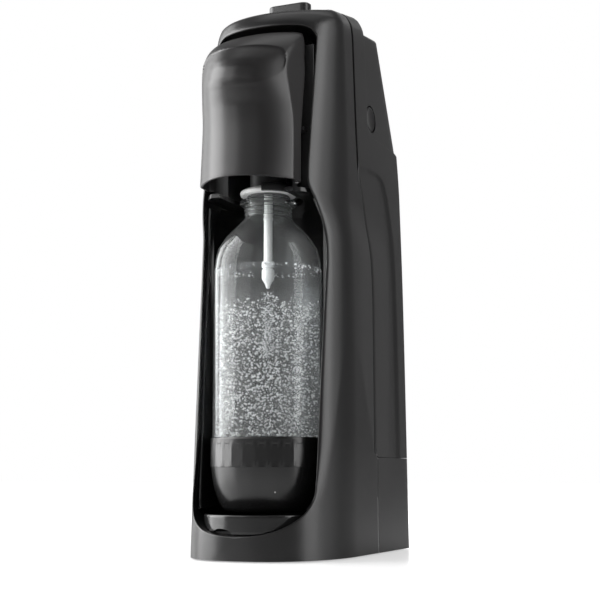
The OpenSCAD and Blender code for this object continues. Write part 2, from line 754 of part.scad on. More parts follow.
// ---- side latches ----
latch_back = 86.6;                             // behind the bottle axis
latch_y = fy(latch_back);
latch_z = deck_top + 12.5;
latch_face = block_w_at(latch_z) - 0.2;
latch_travel = 2.5;
post_x = latch_face - 13;
latch_stem_r = 3;
module latch_posts() {
  color([0.1, 0.1, 0.105]) both_sides() difference() {
    block(post_x - 4, post_x, latch_y - 7, latch_y + 7, deck_top, latch_z + 7);
    translate([0, latch_y, latch_z]) rotate([0, 90, 0]) cylinder(r = latch_stem_r + running, h = far);
  }
}
module latch_button() {
  color([0.12, 0.12, 0.12]) translate([0, latch_y, latch_z]) rotate([0, 90, 0]) {
    translate([0, 0, latch_face - 4]) cylinder(r = latch_r, h = 4);
    translate([0, 0, post_x - 6]) cylinder(r = latch_stem_r, h = latch_face - 4 - post_x + 6);
  }
}
module latch_button_right() { latch_button(); }
module latch_button_left() { mirror([1, 0, 0]) latch_button(); }
module latch_spring() {
  color([0.75, 0.75, 0.76]) translate([0, latch_y, latch_z]) rotate([0, 90, 0])
    coil(latch_stem_r + 1.6, 0.5, post_x, latch_face - 4, 4);
}
module latch_spring_right() { latch_spring(); }
module latch_spring_left() { mirror([1, 0, 0]) latch_spring(); }

// ---- gas hose from the valve holder to the trunnion ----
hose_r = 2.5;
hose_z = deck_top + 14;
hose_x = 16;
elbow_y = cyl_y - port_reach - 4.5;            // where the hose leaves the holder's port
hose_turn_z = pivot_z + 14;                    // from here the hose drops to the trunnion
function down_hose(share) = hose_turn_z + share * (hose_z - hose_turn_z);
hose_points = [[6, elbow_y, hose_z], [8, elbow_y, hose_z], [10, elbow_y, hose_z],
               [hose_x - 1, elbow_y - 3, hose_z], [hose_x, bulkhead_back, hose_z],
               [hose_x, bulkhead_y - 8, hose_z - 3], [22, fy(34), down_hose(0.632)],
               [30, fy(22), down_hose(0.526)], [34.5, fy(8), down_hose(0.316)],
               [34.5, fy(1), hose_turn_z], [34.5, bottle_y, pivot_z + 5]];
function spline(p0, p1, p2, p3, t) = 0.5 * (2 * p1 + (p2 - p0) * t
  + (2 * p0 - 5 * p1 + 4 * p2 - p3) * t * t + (3 * p1 - p0 - 3 * p2 + p3) * t * t * t);
module hose_run(r) {
  last = len(hose_points) - 1;
  per = 4;
  path = [for (k = [0 : last - 1], j = [0 : per - 1])
      spline(hose_points[max(k - 1, 0)], hose_points[k], hose_points[k + 1],
             hose_points[min(k + 2, last)], j / per),
    hose_points[last]];
  loft_along(path, r, 8);
}
module gas_hose() { color([0.12, 0.12, 0.13]) hose_run(hose_r); }
module hose_elbow_rear() {
  color([0.75, 0.62, 0.3]) translate([0, elbow_y, hose_z]) {
    translate([0, -4.5, 0]) rotate([-90, 0, 0]) cylinder(r = 4, h = 9);
    rotate([0, 90, 0]) cylinder(r = 3.4, h = 6);
  }
}
module hose_elbow_front() {
  x0 = cheek_x + cheek_t;
  color([0.75, 0.62, 0.3]) translate([0, bottle_y, pivot_z]) {
    translate([x0, 0, 0]) rotate([0, 90, 0]) cylinder(r = 4.4, h = 5.5);
    translate([34.5, 0, 0]) cylinder(r = 2.9, h = 5);
  }
}

// ---- nozzle head ----
seat_top = 278;
seat_r = 21.7;
seat_low = mouth_z + 2;                        // underside of the seat, on its seal
module nozzle_carriage() {
  color([0.09, 0.09, 0.095]) at_bottle() {
    disc(14, seat_top, pivot_z + 10);
    block(-19, 19, -12, 12, pivot_z - 8, pivot_z + 8);
    translate([-cheek_x - cheek_t, 0, pivot_z]) rotate([0, 90, 0])
      cylinder(r = trunnion_r, h = 2 * (cheek_x + cheek_t));
  }
}
// Quarter of an oval, the crown of the seat grown by d
function crown(d, last) = [for (i = [0 : 7]) let (a = last * i / 7)
  [10 + (seat_r + d - 10) * cos(a), seat_low + 2.5 + (seat_top + d - seat_low - 2.5) * sin(a)]];
module nozzle_seat() {
  color([0.93, 0.93, 0.92]) at_bottle() rotate_extrude()
    polygon(concat([[tube_r, seat_low], [seat_r - 1, seat_low], [seat_r, seat_low + 1]],
      crown(0, 90), [[tube_r, seat_top]]));
}
yoke_t = 3;
yoke_tilt = 23.4;
module neck_collar() {
  inner = crown(seat_gap, 68);
  color([0.08, 0.08, 0.085]) at_bottle() intersection() {
    rotate_extrude() polygon(concat([[seat_r + seat_gap, seat_low], [seat_r + yoke_t, seat_low]],
      crown(yoke_t, 73), backwards(inner)));
    translate([0, 0, seat_top + 1.5]) rotate([0, yoke_tilt, 0]) block(-far, far, -far, far, 0, far);
  }
}
module nozzle_tube() {
  color([0.96, 0.96, 0.96]) at_bottle() {
    ring(1.2, tube_r, tip_top_z, seat_top);
    ring(tube_r, tube_r + 0.6, 254, 255);
  }
}
tip_top_z = 214.5;
tip_foot_z = 200;
tip_r = 4.15;
module nozzle_tip() {
  color([0.96, 0.96, 0.96]) at_bottle() rotate_extrude()
    polygon([[0, tip_foot_z], [1.2, tip_foot_z], [2.4, tip_foot_z + 4], [tip_r, tip_foot_z + 6],
             [tip_r, tip_top_z], [0, tip_top_z]]);
}
module bottle_seal() {
  color([0.5, 0.5, 0.5]) at_bottle() ring(tube_r + 0.3, neck_r - 1, mouth_z + seat_gap, mouth_z + 2);
}

// ---- bottle ----
shoulder = [[neck_r + 3.4, mouth_z - 19], [neck_r + 10, mouth_z - 25.5], [bottle_r - 8.3, mouth_z - 31],
            [bottle_r - 2.9, mouth_z - 40], [bottle_r - 1, mouth_z - 48.5], [bottle_r, mouth_z - 58]];
// Foot of the bottle, from its side down to the middle of its dimpled underside
bottle_foot = [[bottle_r, bottle_z + 34], [bottle_r - 1.2, bottle_z + 26], [bottle_r - 3.2, bottle_z + 18],
               [bottle_r - 6.2, bottle_z + 12], [bottle_r - 10.5, bottle_z + 6.5],
               [bottle_r - 16, bottle_z + 3], [bottle_r - 20, bottle_z + 2], [12, bottle_z + 4.5],
               [0, bottle_z + 7]];
function foot_offset(out, up) = [for (p = bottle_foot) [max(p[0] + (p[0] > 13 ? out : 0), 0), p[1] + up]];
function backwards(list) = [for (i = [len(list) - 1 : -1 : 0]) list[i]];
module bottle() {
  w = bottle_wall;
  color([0.85, 0.9, 0.93, 0.35]) at_bottle() rotate_extrude()
    polygon(concat(
      [[neck_r - w, mouth_z], [neck_r, mouth_z], [neck_r, mouth_z - 2], [seat_r, mouth_z - 2],
       [seat_r, mouth_z - 5], [neck_r, mouth_z - 6], [neck_r, mouth_z - 15]],
      shoulder, bottle_foot, backwards(foot_offset(-w, 0.8 * w)),
      backwards([for (p = shoulder) [p[0] - w, p[1] - 0.5]]),
      [[neck_r - w, mouth_z - 16]]));
}
module water() {
  g = 0.2;
  w = bottle_wall + g;
  shoulder_foot = mouth_z - 58.5;
  lean = 0.12;                                 // the shoulder's lean just above its foot
  color([0.8, 0.88, 0.92, 0.3]) at_bottle() difference() {
    rotate_extrude() polygon(concat(
      backwards(foot_offset(-w, 0.8 * bottle_wall + g)),
      [[bottle_r - w, min(shoulder_foot, water_z - 1)],
       [bottle_r - w - max(water_z - shoulder_foot, 0) * lean, water_z], [0, water_z]]));
    disc(tip_r + g, tip_foot_z - 0.5, far);
  }
}
module base_cup() {
  facet_low = 68;
  facet_high = 83.5;
  fit = 0.25;
  color([0.045, 0.045, 0.05]) at_bottle() difference() {
    intersection() {
      rotate_extrude()
        polygon([[0, bottle_z + 1], [cup_r - 20.4, bottle_z], [cup_r - 14.4, bottle_z + 2.5],
                 [cup_r - 8.9, bottle_z + 7], [cup_r - 4.8, bottle_z + 13],
                 [cup_r - 2.2, bottle_z + 20], [cup_r - 0.6, facet_low],
                 [cup_r + 1, facet_low + 1], [cup_r + 1, cup_rim_z], [0, cup_rim_z]]);
      union() {
        translate([0, 0, facet_low]) linear_extrude(facet_high - facet_low)
          polygon([for (i = [0 : cup_flats - 1]) let (a = 360 * i / cup_flats)
            [cup_r * cos(a), cup_r * sin(a)]]);
        disc(cup_r - 0.1, bottle_z - 1, facet_low);
        disc(cup_r, facet_high, cup_rim_z + 1);
      }
    }
    rotate_extrude()
      polygon(concat([[0, cup_rim_z + 1], [bottle_r + fit, cup_rim_z + 1]],
        [for (p = foot_offset(fit, -fit)) if (p[0] > 13) p], [[0, bottle_z + 2 - fit]]));
  }
}

front_housing();
base_plate();
feet();
bay_floor();
bay_liner();
bay_bezel();
bay_roof();
head_panel();
head_frame();
chassis();
deck();
valve_block_cover();
valve_holder();
valve_seal();
relief_valve();
lever_bracket();
lever_pin();
actuator_lever();
button_guide();
button_spring();
push_button();
button_stem();
gas_hose();
hose_elbow_rear();
hose_elbow_front();
cylinder_rest();
co2_cylinder();
cylinder_valve();
valve_pin();
nozzle_carriage();
nozzle_seat();
neck_collar();
nozzle_tube();
nozzle_tip();
bottle_seal();
bottle();
water();
base_cup();
drip_tray();
rear_cover();
latch_posts();
latch_button_left();
latch_button_right();
latch_spring_left();
latch_spring_right();
base_screws();
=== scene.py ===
# %% [markdown]
# # A countertop soda carbonator
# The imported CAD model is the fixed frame: it says where every part sits and how it moves.
# This script dresses that frame. Smooth skins take the place of the faceted shells, the
# bottle gets real walls, water and bubbles, and every part gets a procedural material.

# %% Load the frame
import json
import math

import bmesh
import bpy
import numpy as np
from mathutils import Matrix, Vector

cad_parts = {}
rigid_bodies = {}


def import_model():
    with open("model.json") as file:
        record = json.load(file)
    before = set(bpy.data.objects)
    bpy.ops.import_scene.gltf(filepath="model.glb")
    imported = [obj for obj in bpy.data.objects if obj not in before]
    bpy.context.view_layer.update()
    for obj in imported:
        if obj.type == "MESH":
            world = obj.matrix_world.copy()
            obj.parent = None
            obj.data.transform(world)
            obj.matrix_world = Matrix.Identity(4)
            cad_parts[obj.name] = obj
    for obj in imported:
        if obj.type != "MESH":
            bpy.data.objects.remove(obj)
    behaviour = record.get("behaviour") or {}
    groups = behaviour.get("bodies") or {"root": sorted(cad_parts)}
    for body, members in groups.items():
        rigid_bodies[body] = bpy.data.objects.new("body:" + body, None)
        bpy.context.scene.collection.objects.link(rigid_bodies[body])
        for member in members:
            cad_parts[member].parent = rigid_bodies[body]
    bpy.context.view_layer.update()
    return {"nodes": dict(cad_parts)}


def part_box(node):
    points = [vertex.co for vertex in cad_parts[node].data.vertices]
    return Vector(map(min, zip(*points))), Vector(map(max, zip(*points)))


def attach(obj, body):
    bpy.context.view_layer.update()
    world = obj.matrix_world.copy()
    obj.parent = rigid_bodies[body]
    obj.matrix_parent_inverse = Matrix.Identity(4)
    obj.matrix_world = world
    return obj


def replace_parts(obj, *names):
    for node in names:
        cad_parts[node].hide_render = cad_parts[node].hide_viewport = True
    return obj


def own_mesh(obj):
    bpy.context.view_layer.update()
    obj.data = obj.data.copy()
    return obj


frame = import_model()
nodes = frame["nodes"]
MM = 0.001


def linked(name, data):
    """A new object with this data, linked into the scene."""
    obj = bpy.data.objects.new(name, data)
    bpy.context.scene.collection.objects.link(obj)
    return obj


# %% [markdown]
# The camera comes first. It looks up slightly from table height, from the front right,
# with a long lens, so the upright edges stay nearly parallel.

# %% Camera
camera_data = bpy.data.cameras.new("camera")
camera_data.sensor_width = 36
camera_data.lens = 74.87
camera = linked("camera", camera_data)
camera.location = (0.3937, -0.89265, 0.0621)
camera.rotation_euler = (math.radians(97.89), 0, math.radians(23.305))
bpy.context.scene.camera = camera

# %% [markdown]
# Sizes that several skins share are read from the frame, so that a piece sits where the
# solid sits. Everything else in the outline is a short table of heights against widths,
# joined by a smooth curve instead of straight lines.

# %% Shared sizes
bottle_low, bottle_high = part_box("bottle")
_, housing_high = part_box("front_housing")
AXIS_Y = (bottle_low.y + bottle_high.y) / 2 / MM      # bottle axis
TOP_Z = 425.0                                         # front edge of the sloping top
TOP_SLOPE = 0.215
REAR_Y = housing_high.y / MM
PLAN_BACK = 26.4                                      # from the axis to the widest slice
PLAN_Y = AXIS_Y + PLAN_BACK                           # the curved front meets the sides here
FOOT_Z = 0.8
LEDGE_Z = 334.0
POCKET_Y = AXIS_Y + 74                                # front of the pocket above the ledge
FOOT_EDGE_Z = 74.0
CORNER_R = 7.0


def smooth_table(points):
    """A monotone curve through (height, value) pairs, so no bulge appears between them."""
    xs, ys = (np.array(v, float) for v in zip(*points))
    h, d = np.diff(xs), np.diff(ys) / np.diff(xs)
    m = np.zeros_like(xs)
    m[0], m[-1] = d[0], d[-1]
    for k in range(1, len(xs) - 1):
        if d[k - 1] * d[k] > 0:
            w1, w2 = 2 * h[k] + h[k - 1], h[k] + 2 * h[k - 1]
            m[k] = (w1 + w2) / (w1 / d[k - 1] + w2 / d[k])

    def value(x):
        x = np.clip(np.asarray(x, float), xs[0], xs[-1])
        k = np.clip(np.searchsorted(xs, x) - 1, 0, len(h) - 1)
        t = (x - xs[k]) / h[k]
        return ((1 + 2 * t) * (1 - t) ** 2 * ys[k] + t * (1 - t) ** 2 * h[k] * m[k]
                + t * t * (3 - 2 * t) * ys[k + 1] + t * t * (t - 1) * h[k] * m[k + 1])
    return value


FRONT_LEN = 55.2 + PLAN_BACK
# the rounded top: distance below TOP_Z, half width, how far the front has drawn back
CROWN = [(21, 53, 38), (12, 51.8, 44), (8.8, 50.5, 49), (5.9, 48.7, 54.7), (3.8, 47, 60.7),
         (2.2, 44.9, 66.4), (0.9, 42.8, 72), (0, 39.5, 79)]
TOP_FRONT_Y = PLAN_Y + CROWN[-1][2] - FRONT_LEN       # the top starts to climb here
half_width = smooth_table(
    [(0, 61.5), (215, 58.5), (288, 56.6), (345, 55), (385, 53.7)]
    + [(TOP_Z - down, half) for down, half, _ in CROWN])
front_reach = smooth_table([(z, FRONT_LEN - back) for z, back in
                            [(0, 0), (215, 6.5), (268, 10.3), (300, 15.5), (345, 24.5)]
                            + [(TOP_Z - down, back) for down, _, back in CROWN]])
back_y = smooth_table([(0, REAR_Y), (290, REAR_Y), (345, REAR_Y - 5.5), (TOP_Z, REAR_Y - 40)])
front_power = smooth_table([(0, 2.55), (385, 2.55), (TOP_Z - 12, 2.1), (TOP_Z, 2)])


def lift(y, z):
    """How far the sloping top raises a point of the slice at height z."""
    return TOP_SLOPE * np.maximum(0, y - TOP_FRONT_Y) * np.maximum(0, z - TOP_Z + 40) / 40


def roof_z(y):
    return TOP_Z + TOP_SLOPE * max(0.0, y - TOP_FRONT_Y)

# %% [markdown]
# The outer skin is one function. `q` runs round the right half of a horizontal slice:
# 0 to 1 along the curved front, 1 to 2 along the side, 2 to 3 round the rear corner and
# 3 to 4 across the back. Each shell is then a grid of (q, z) pairs laid on that skin.
# Beside the bay the wall swells a little and then rolls in towards the opening, which is
# what catches the long soft highlight.

# %% The outer skin
bay_edge_x = smooth_table([(18, 0), (26, 33), (40, 46), (54, 49), (90, 50.6), (140, 52), (200, 52.5),
                           (240, 51.5), (268, 43)])
swell = smooth_table([(-30, -9), (0, -3.5), (7, -1.5), (12.6, 0), (19, 1.0), (26, 1.6), (35, 1.9),
                      (50, 1.8), (80, 1.1), (130, 0)])
beside_bay = smooth_table([(40, 0), (92, 1), (232, 1), (268, 0)])
WIDEST = 61.3                                         # the swell never passes this half width


def skin(q, z):
    q, z = np.broadcast_arrays(np.asarray(q, float), np.asarray(z, float))
    hw, reach, back, power = half_width(z), front_reach(z), back_y(z), front_power(z)
    a = np.radians(-90 + 90 * np.clip(q, 0, 1))
    x = hw * np.power(np.clip(np.cos(a), 0, 1), 2 / power)
    y = PLAN_Y + reach * np.sin(a)
    edge_y = PLAN_Y - reach * (1 - np.clip(bay_edge_x(z) / hw, 0, 1) ** power) ** (1 / power)
    side = np.clip(q - 1, 0, 1)
    y = np.where(q > 1, PLAN_Y + side * (back - CORNER_R - PLAN_Y), y)
    roll = np.minimum(swell(y - edge_y), WIDEST - hw) * beside_bay(z)
    turn = np.radians(90 * np.clip(q - 2, 0, 1))
    x = np.where(q > 2, hw - CORNER_R + CORNER_R * np.cos(turn), x)
    y = np.where(q > 2, back - CORNER_R + CORNER_R * np.sin(turn), y)
    x = np.where(q > 3, (hw - CORNER_R) * (4 - q), x)
    x, y = x + 0.97 * roll * (q <= 3), y - 0.24 * roll * np.clip((1 - q) / 0.12, 0, 1)
    return np.stack([x, y, z + lift(y, z)], -1)


def q_of_x(x, z):
    """Where the front of the slice at height z is x from the middle."""
    c = np.clip(np.asarray(x, float) / half_width(z), 0, 1) ** (front_power(z) / 2)
    return 1 - np.degrees(np.arccos(c)) / 90


def q_of_y(y, z):
    """Where the straight side of the slice at height z is at depth y."""
    return 1 + (np.asarray(y, float) - PLAN_Y) / (back_y(z) - CORNER_R - PLAN_Y)


def skin_normal(q, z):
    e = 0.004
    dq = skin(q + e, z) - skin(np.maximum(q - e, 0), z)
    dz = skin(q, z + e * 20) - skin(q, z - e * 20)
    n = np.cross(dq, dz)
    return n / np.maximum(np.linalg.norm(n, axis=-1, keepdims=True), 1e-9)


# %% [markdown]
# Helpers that turn arrays of points into meshes. A grid becomes quads, and a half shell is
# mirrored across the middle. Normals are then recalculated, so every face looks outwards.

# %% Mesh helpers
MERGE = 0.00002                                       # points closer than this are one


def new_object(name, verts, faces, material, smooth_deg=35, from_middle=False):
    mesh = bpy.data.meshes.new(name)
    mesh.from_pydata([tuple(v * MM) for v in np.asarray(verts, float)], [], faces)
    work = bmesh.new()
    work.from_mesh(mesh)
    bmesh.ops.remove_doubles(work, verts=work.verts, dist=MERGE)
    bmesh.ops.dissolve_degenerate(work, edges=work.edges, dist=1e-7)
    bmesh.ops.recalc_face_normals(work, faces=work.faces)
    if from_middle and sum(faces_away(f) for f in work.faces) < 0:
        bmesh.ops.reverse_faces(work, faces=work.faces)
    return finished(work, mesh, name, material, smooth_deg)


def faces_away(f):
    """Positive for a face whose normal points away from the middle of the machine."""
    c = f.calc_center_median()
    return (c.x * f.normal.x + (c.y - 0.01) * f.normal.y) * f.calc_area()


def finished(work, mesh, name, material, smooth_deg):
    work.to_mesh(mesh)
    work.free()
    mesh.materials.append(material)
    obj = linked(name, mesh)
    shade(obj, smooth_deg)
    return obj


def shade(obj, degrees):
    for polygon in obj.data.polygons:
        polygon.use_smooth = True
    obj.data.set_sharp_from_angle(angle=math.radians(degrees))


def grid_faces(rows, cols, offset=0, closed=False):
    faces = []
    for i in range(rows - 1):
        for j in range(cols if closed else cols - 1):
            k = (j + 1) % cols
            faces.append((offset + i * cols + j, offset + i * cols + k,
                          offset + (i + 1) * cols + k, offset + (i + 1) * cols + j))
    return faces


def add_grid(verts, faces, grid):
    faces += grid_faces(grid.shape[0], grid.shape[1], len(verts))
    verts += list(grid.reshape(-1, 3))


def mirrored(points):
    return np.asarray(points) * np.array([-1, 1, 1])


def both_halves(grids):
    """Verts and faces of point grids (rows, cols, 3) and of their mirror images."""
    verts, faces = [], []
    for grid in grids:
        for g in (grid, mirrored(grid)):
            add_grid(verts, faces, g)
    return verts, faces


def lathe(name, profile, material, body, centre=(0, 0), steps=128, smooth_deg=35, shape=None):
    """A closed profile of (radius, height) pairs turned about an upright axis."""
    ring = np.radians(np.arange(steps) * 360 / steps)
    verts = []
    for r, z in profile:
        rr = r * np.ones(steps) if shape is None else r * shape(ring, z)
        verts += list(np.stack([centre[0] + rr * np.cos(ring), centre[1] + rr * np.sin(ring),
                                z * np.ones(steps)], -1))
    faces = grid_faces(len(profile), steps, closed=True)
    closes = profile[0][0] > 1e-6 and profile[-1][0] > 1e-6
    if closes and profile[0] != profile[-1]:
        n = len(profile)
        faces += [((n - 1) * steps + j, (n - 1) * steps + (j + 1) % steps, (j + 1) % steps, j)
                  for j in range(steps)]
    obj = new_object(name, verts, faces, material, smooth_deg)
    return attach(obj, body)

# %% [markdown]
# Shader maths reads better as Python. `Wire` wraps a socket, and the usual operators add
# Math nodes behind it. `Shader.node` makes any other node from its type, its settings and
# the values or links of its inputs.

# %% Shader helpers
class Wire:
    def __init__(self, shader, socket):
        self.shader, self.socket = shader, socket

    def _math(self, operation, *values):
        return self.shader.node("ShaderNodeMath", {"operation": operation}, *values)

    def __add__(self, other):
        return self._math("ADD", self, other)

    def __sub__(self, other):
        return self._math("SUBTRACT", self, other)

    def __rsub__(self, other):
        return self._math("SUBTRACT", other, self)

    def __mul__(self, other):
        return self._math("MULTIPLY", self, other)

    def __truediv__(self, other):
        return self._math("DIVIDE", self, other)

    def __pow__(self, other):
        return self._math("POWER", self, other)

    def sine(self):
        return self._math("SINE", self)

    def ramp(self, low, high):
        """0 below low, 1 above high, smooth between."""
        return self.shader.node("ShaderNodeMapRange", {"interpolation_type": "SMOOTHSTEP"},
                                self, low, high, 0.0, 1.0)


class Shader:
    def __init__(self, name):
        self.material = bpy.data.materials.new(name)
        self.material.use_nodes = True
        self.tree = self.material.node_tree
        self.principled = self.tree.nodes["Principled BSDF"]
        self.output = self.tree.nodes["Material Output"]

    def node(self, kind, settings=None, *values, out=0, **named):
        made = self.tree.nodes.new(kind)
        for key, value in (settings or {}).items():
            setattr(made, key, value)
        for key, value in list(enumerate(values)) + list(named.items()):
            name = key.replace("_", " ") if isinstance(key, str) else key
            self.link(made.inputs[name], value)
        return Wire(self, made.outputs[out])

    def link(self, socket, value):
        if isinstance(value, Wire):
            self.tree.links.new(value.socket, socket)
        elif value is not None:
            room = getattr(socket.default_value, "__len__", int)()
            if room == 4 and len(value) == 3:
                value = (*value, 1)
            socket.default_value = value

    def place(self):
        return self.node("ShaderNodeTexCoord", out=3)

    def split(self, vector):
        made = self.tree.nodes.new("ShaderNodeSeparateXYZ")
        self.link(made.inputs[0], vector)
        return [Wire(self, o) for o in made.outputs]

    def stretched(self, scale):
        return self.node("ShaderNodeMapping", None, self.place(), Scale=scale)

    def noise(self, scale, detail=2.0, vector=None, rough=0.5):
        return self.node("ShaderNodeTexNoise", None, Vector=vector or self.place(),
                         Scale=scale, Detail=detail, Roughness=rough)

    def mix(self, factor, a, b):
        made = self.tree.nodes.new("ShaderNodeMix")
        made.data_type = "RGBA"
        self.link(made.inputs["Factor"], factor)
        for key, value in ((6, a), (7, b)):
            self.link(made.inputs[key], value)
        return Wire(self, made.outputs[2])

    def bump(self, height, strength, distance=0.0002):
        return self.node("ShaderNodeBump", None, Height=height, Strength=strength,
                         Distance=distance)

    def finish(self, **sockets):
        for key, value in sockets.items():
            self.link(self.principled.inputs[key.replace("_", " ")], value)
        return self.material


# %% [markdown]
# The shells are injection-moulded plastic: nearly black, with a fine spark-eroded texture
# that spreads the highlights. The texture is a fine noise in the bump, and the roughness
# drifts a little, as it does where hands and cloths have polished the part.

# %% Moulded plastics
def moulded(name, colour, roughness, grain=0.05, grain_scale=2600, drift=0.05, coat=0.0,
            specular=0.5, colour_drift=0.12):
    s = Shader(name)
    cloud = s.noise(18, 3)
    fine = s.noise(grain_scale, 1)
    base = s.mix(cloud, tuple(c * (1 - colour_drift) for c in colour),
                 tuple(c * (1 + colour_drift) for c in colour))
    return s.finish(Base_Color=base, Roughness=(cloud - 0.5) * drift + roughness,
                    Normal=s.bump(fine, grain), Coat_Weight=coat, Coat_Roughness=0.1,
                    Specular_IOR_Level=specular)


housing_finish = moulded("satin_charcoal", (0.0085, 0.0082, 0.0085), 0.29, grain=0.10)
cover_finish = moulded("satin_charcoal_cover", (0.0075, 0.0072, 0.0075), 0.36, grain=0.10)
head_finish = moulded("head_satin_gloss", (0.012, 0.0112, 0.0115), 0.34, grain=0.05)
bay_finish = moulded("bay_gloss_black", (0.006, 0.006, 0.0062), 0.2, grain=0.015, drift=0.03)
cup_finish = moulded("cup_gloss_black", (0.008, 0.008, 0.0082), 0.26, grain=0.01, drift=0.03)
tray_finish = moulded("tray_gloss_black", (0.010, 0.010, 0.0102), 0.20, grain=0.02, drift=0.03)
inner_finish = moulded("inner_moulding", (0.012, 0.012, 0.0125), 0.5, grain=0.12)
button_finish = moulded("button_satin", (0.017, 0.0165, 0.017), 0.36, grain=0.08)
white_finish = moulded("white_moulding", (0.82, 0.82, 0.81), 0.28, grain=0.03, colour_drift=0.01)
seal_finish = moulded("soft_seal", (0.10, 0.10, 0.10), 0.6, grain=0.1)
# the seam band's near-black, matt colour with little gloss is painted shade for the gap between the shells
seam_shade_finish = moulded("dark_gasket", (0.0012, 0.0012, 0.0012), 0.85, grain=0.1, specular=0.12)
rubber_finish = moulded("black_rubber", (0.012, 0.012, 0.012), 0.7, grain=0.2)


# %% Metals
def metal(name, colour, roughness, streak=(600, 600, 20), amount=0.12):
    s = Shader(name)
    lines = s.noise(1.0, 3, vector=s.stretched(streak))
    return s.finish(Base_Color=s.mix(lines, tuple(c * 0.86 for c in colour), colour), Metallic=1.0,
                    Roughness=lines * amount + roughness, Normal=s.bump(lines, 0.06))


steel_finish = metal("drawn_steel", (0.55, 0.55, 0.56), 0.24)
cast_finish = metal("cast_zinc", (0.45, 0.45, 0.45), 0.42, streak=(220, 220, 220))
brass_finish = metal("turned_brass", (0.70, 0.52, 0.25), 0.22, streak=(40, 40, 900))
paint_finish = moulded("silver_paint", (0.42, 0.44, 0.46), 0.32, grain=0.08, coat=0.4)


# %% [markdown]
# Clear plastic and water are glass shaders. Shadow rays pass them as thin tinted film, so
# the light still reaches what stands behind, as it does through a real bottle. Fine gas
# makes the water milky: a white veil is mixed in where a stretched noise is high, and more
# of it the deeper the water is stirred.

# %% Clear bottle and water
MILK = (0.62, 0.62, 0.62)


def clear(name, tint, ior, roughness, film, veil):
    s = Shader(name)
    rays = s.tree.nodes.new("ShaderNodeLightPath")
    shadow = Wire(s, rays.outputs["Is Shadow Ray"])
    glass = s.node("ShaderNodeBsdfGlass", None, Color=tint, IOR=ior, Roughness=roughness)
    thin = s.node("ShaderNodeBsdfTransparent", None, Color=film)
    white = s.node("ShaderNodeBsdfDiffuse", None, Color=MILK)
    through = s.node("ShaderNodeBsdfTranslucent", None, Color=MILK)
    milk = s.node("ShaderNodeMixShader", None, 0.4, white, through)
    body = s.node("ShaderNodeMixShader", None, veil(s), glass, milk)
    mixed = s.node("ShaderNodeMixShader", None, shadow, body, thin)
    s.link(s.output.inputs["Surface"], mixed)
    return s.material


def bottle_veil(s):
    """A faint bloom on the plastic, with streaks that run down the bottle."""
    return s.noise(1.0, 3, vector=s.stretched((90, 90, 9))).ramp(0.35, 0.75) * 0.03 + 0.025


def water_veil(s):
    """Milky from the jet downwards, in rolling clouds with fine speckle."""
    height = s.split(s.place())[2]
    rolling = s.noise(46, 5, rough=0.62).ramp(0.34, 0.66)
    speckle = s.noise(900, 2).ramp(0.45, 0.7)
    stirred = 1 - height.ramp(0.172, 0.206)
    return (rolling * 0.10 + speckle * 0.10 + 0.06) * (stirred * 0.7 + 0.3)

# %% [markdown]
# The front housing is a ring of skin around one tall opening: the bay below and the arch
# round the head above. The inner loop is the edge of that opening. The outer loop is the
# seam, the foot and the top. Between them the skin is swept in rings, and the rim is a
# soft nose that rolls from the skin into the opening, as on the moulded part.

# %% Edge of the opening
BAY_FOOT_W, BAY_W, ARCH_W, ARCH_TOP_Z, SILL_Z = 98.0, 105.0, 84.4, 401.2, 18.0
NECK_IN_Z, BAY_TOP_Z, LOW_CORNER_H, ARCH_R = 230.0, 268.0, 36.0, 11.0
bay_flare = smooth_table([(206, 52.5), (216, 52.4), (228, 52.1), (238, 51.4), (247, 50.1), (254, 48.6),
                          (263, 46.2), (270, 43.6), (275, 42.4), (279, 42.2)])


def opening_half():
    """Right half of the opening, from its top middle down to its bottom middle, as (x, z)."""
    pts = [(x, ARCH_TOP_Z) for x in np.linspace(0, ARCH_W / 2 - ARCH_R, 24)]
    pts += [(ARCH_W / 2 - ARCH_R + ARCH_R * math.sin(a), ARCH_TOP_Z - ARCH_R + ARCH_R * math.cos(a))
            for a in np.radians(np.linspace(3, 90, 26))]
    pts += [(ARCH_W / 2, z) for z in np.linspace(ARCH_TOP_Z - ARCH_R - 3, BAY_TOP_Z + 9, 34)]
    pts += [(float(bay_flare(z)), z) for z in np.linspace(BAY_TOP_Z + 7, NECK_IN_Z - 14, 36)]
    low_z = SILL_Z + LOW_CORNER_H
    for z in np.linspace(NECK_IN_Z - 18, low_z, 56):
        t = np.clip((z - low_z) / (NECK_IN_Z - 10 - low_z), 0, 1)
        pts.append((BAY_FOOT_W / 2 + (BAY_W - BAY_FOOT_W) / 2 * t ** 0.65, z))
    for a in np.radians(np.linspace(1, 90, 70)):
        pts.append((BAY_FOOT_W / 2 * math.cos(a) ** 0.8,
                    low_z - LOW_CORNER_H * math.sin(a) ** 0.8))
    return np.array(pts)


seam_y = smooth_table([(z, AXIS_Y + back) for z, back in (
    (0, 74), (FOOT_EDGE_Z, 74), (75, 69.5), (78, 66.5), (83, 65.5), (205, 67.5), (225, 66.5),
    (256, 58.2), (276, 53.5), (300, 45), (345, 42.8), (430, 42.8))])
FOOT_BACK_Y = AXIS_Y + 74                             # where the front shell's foot joins the rear
LIP = 2.6                                             # depth of the lips that turn in
NOSE = 5.0                                            # length of skin that rolls into the rim
SEAM = 3.8                                            # gap between the two shells


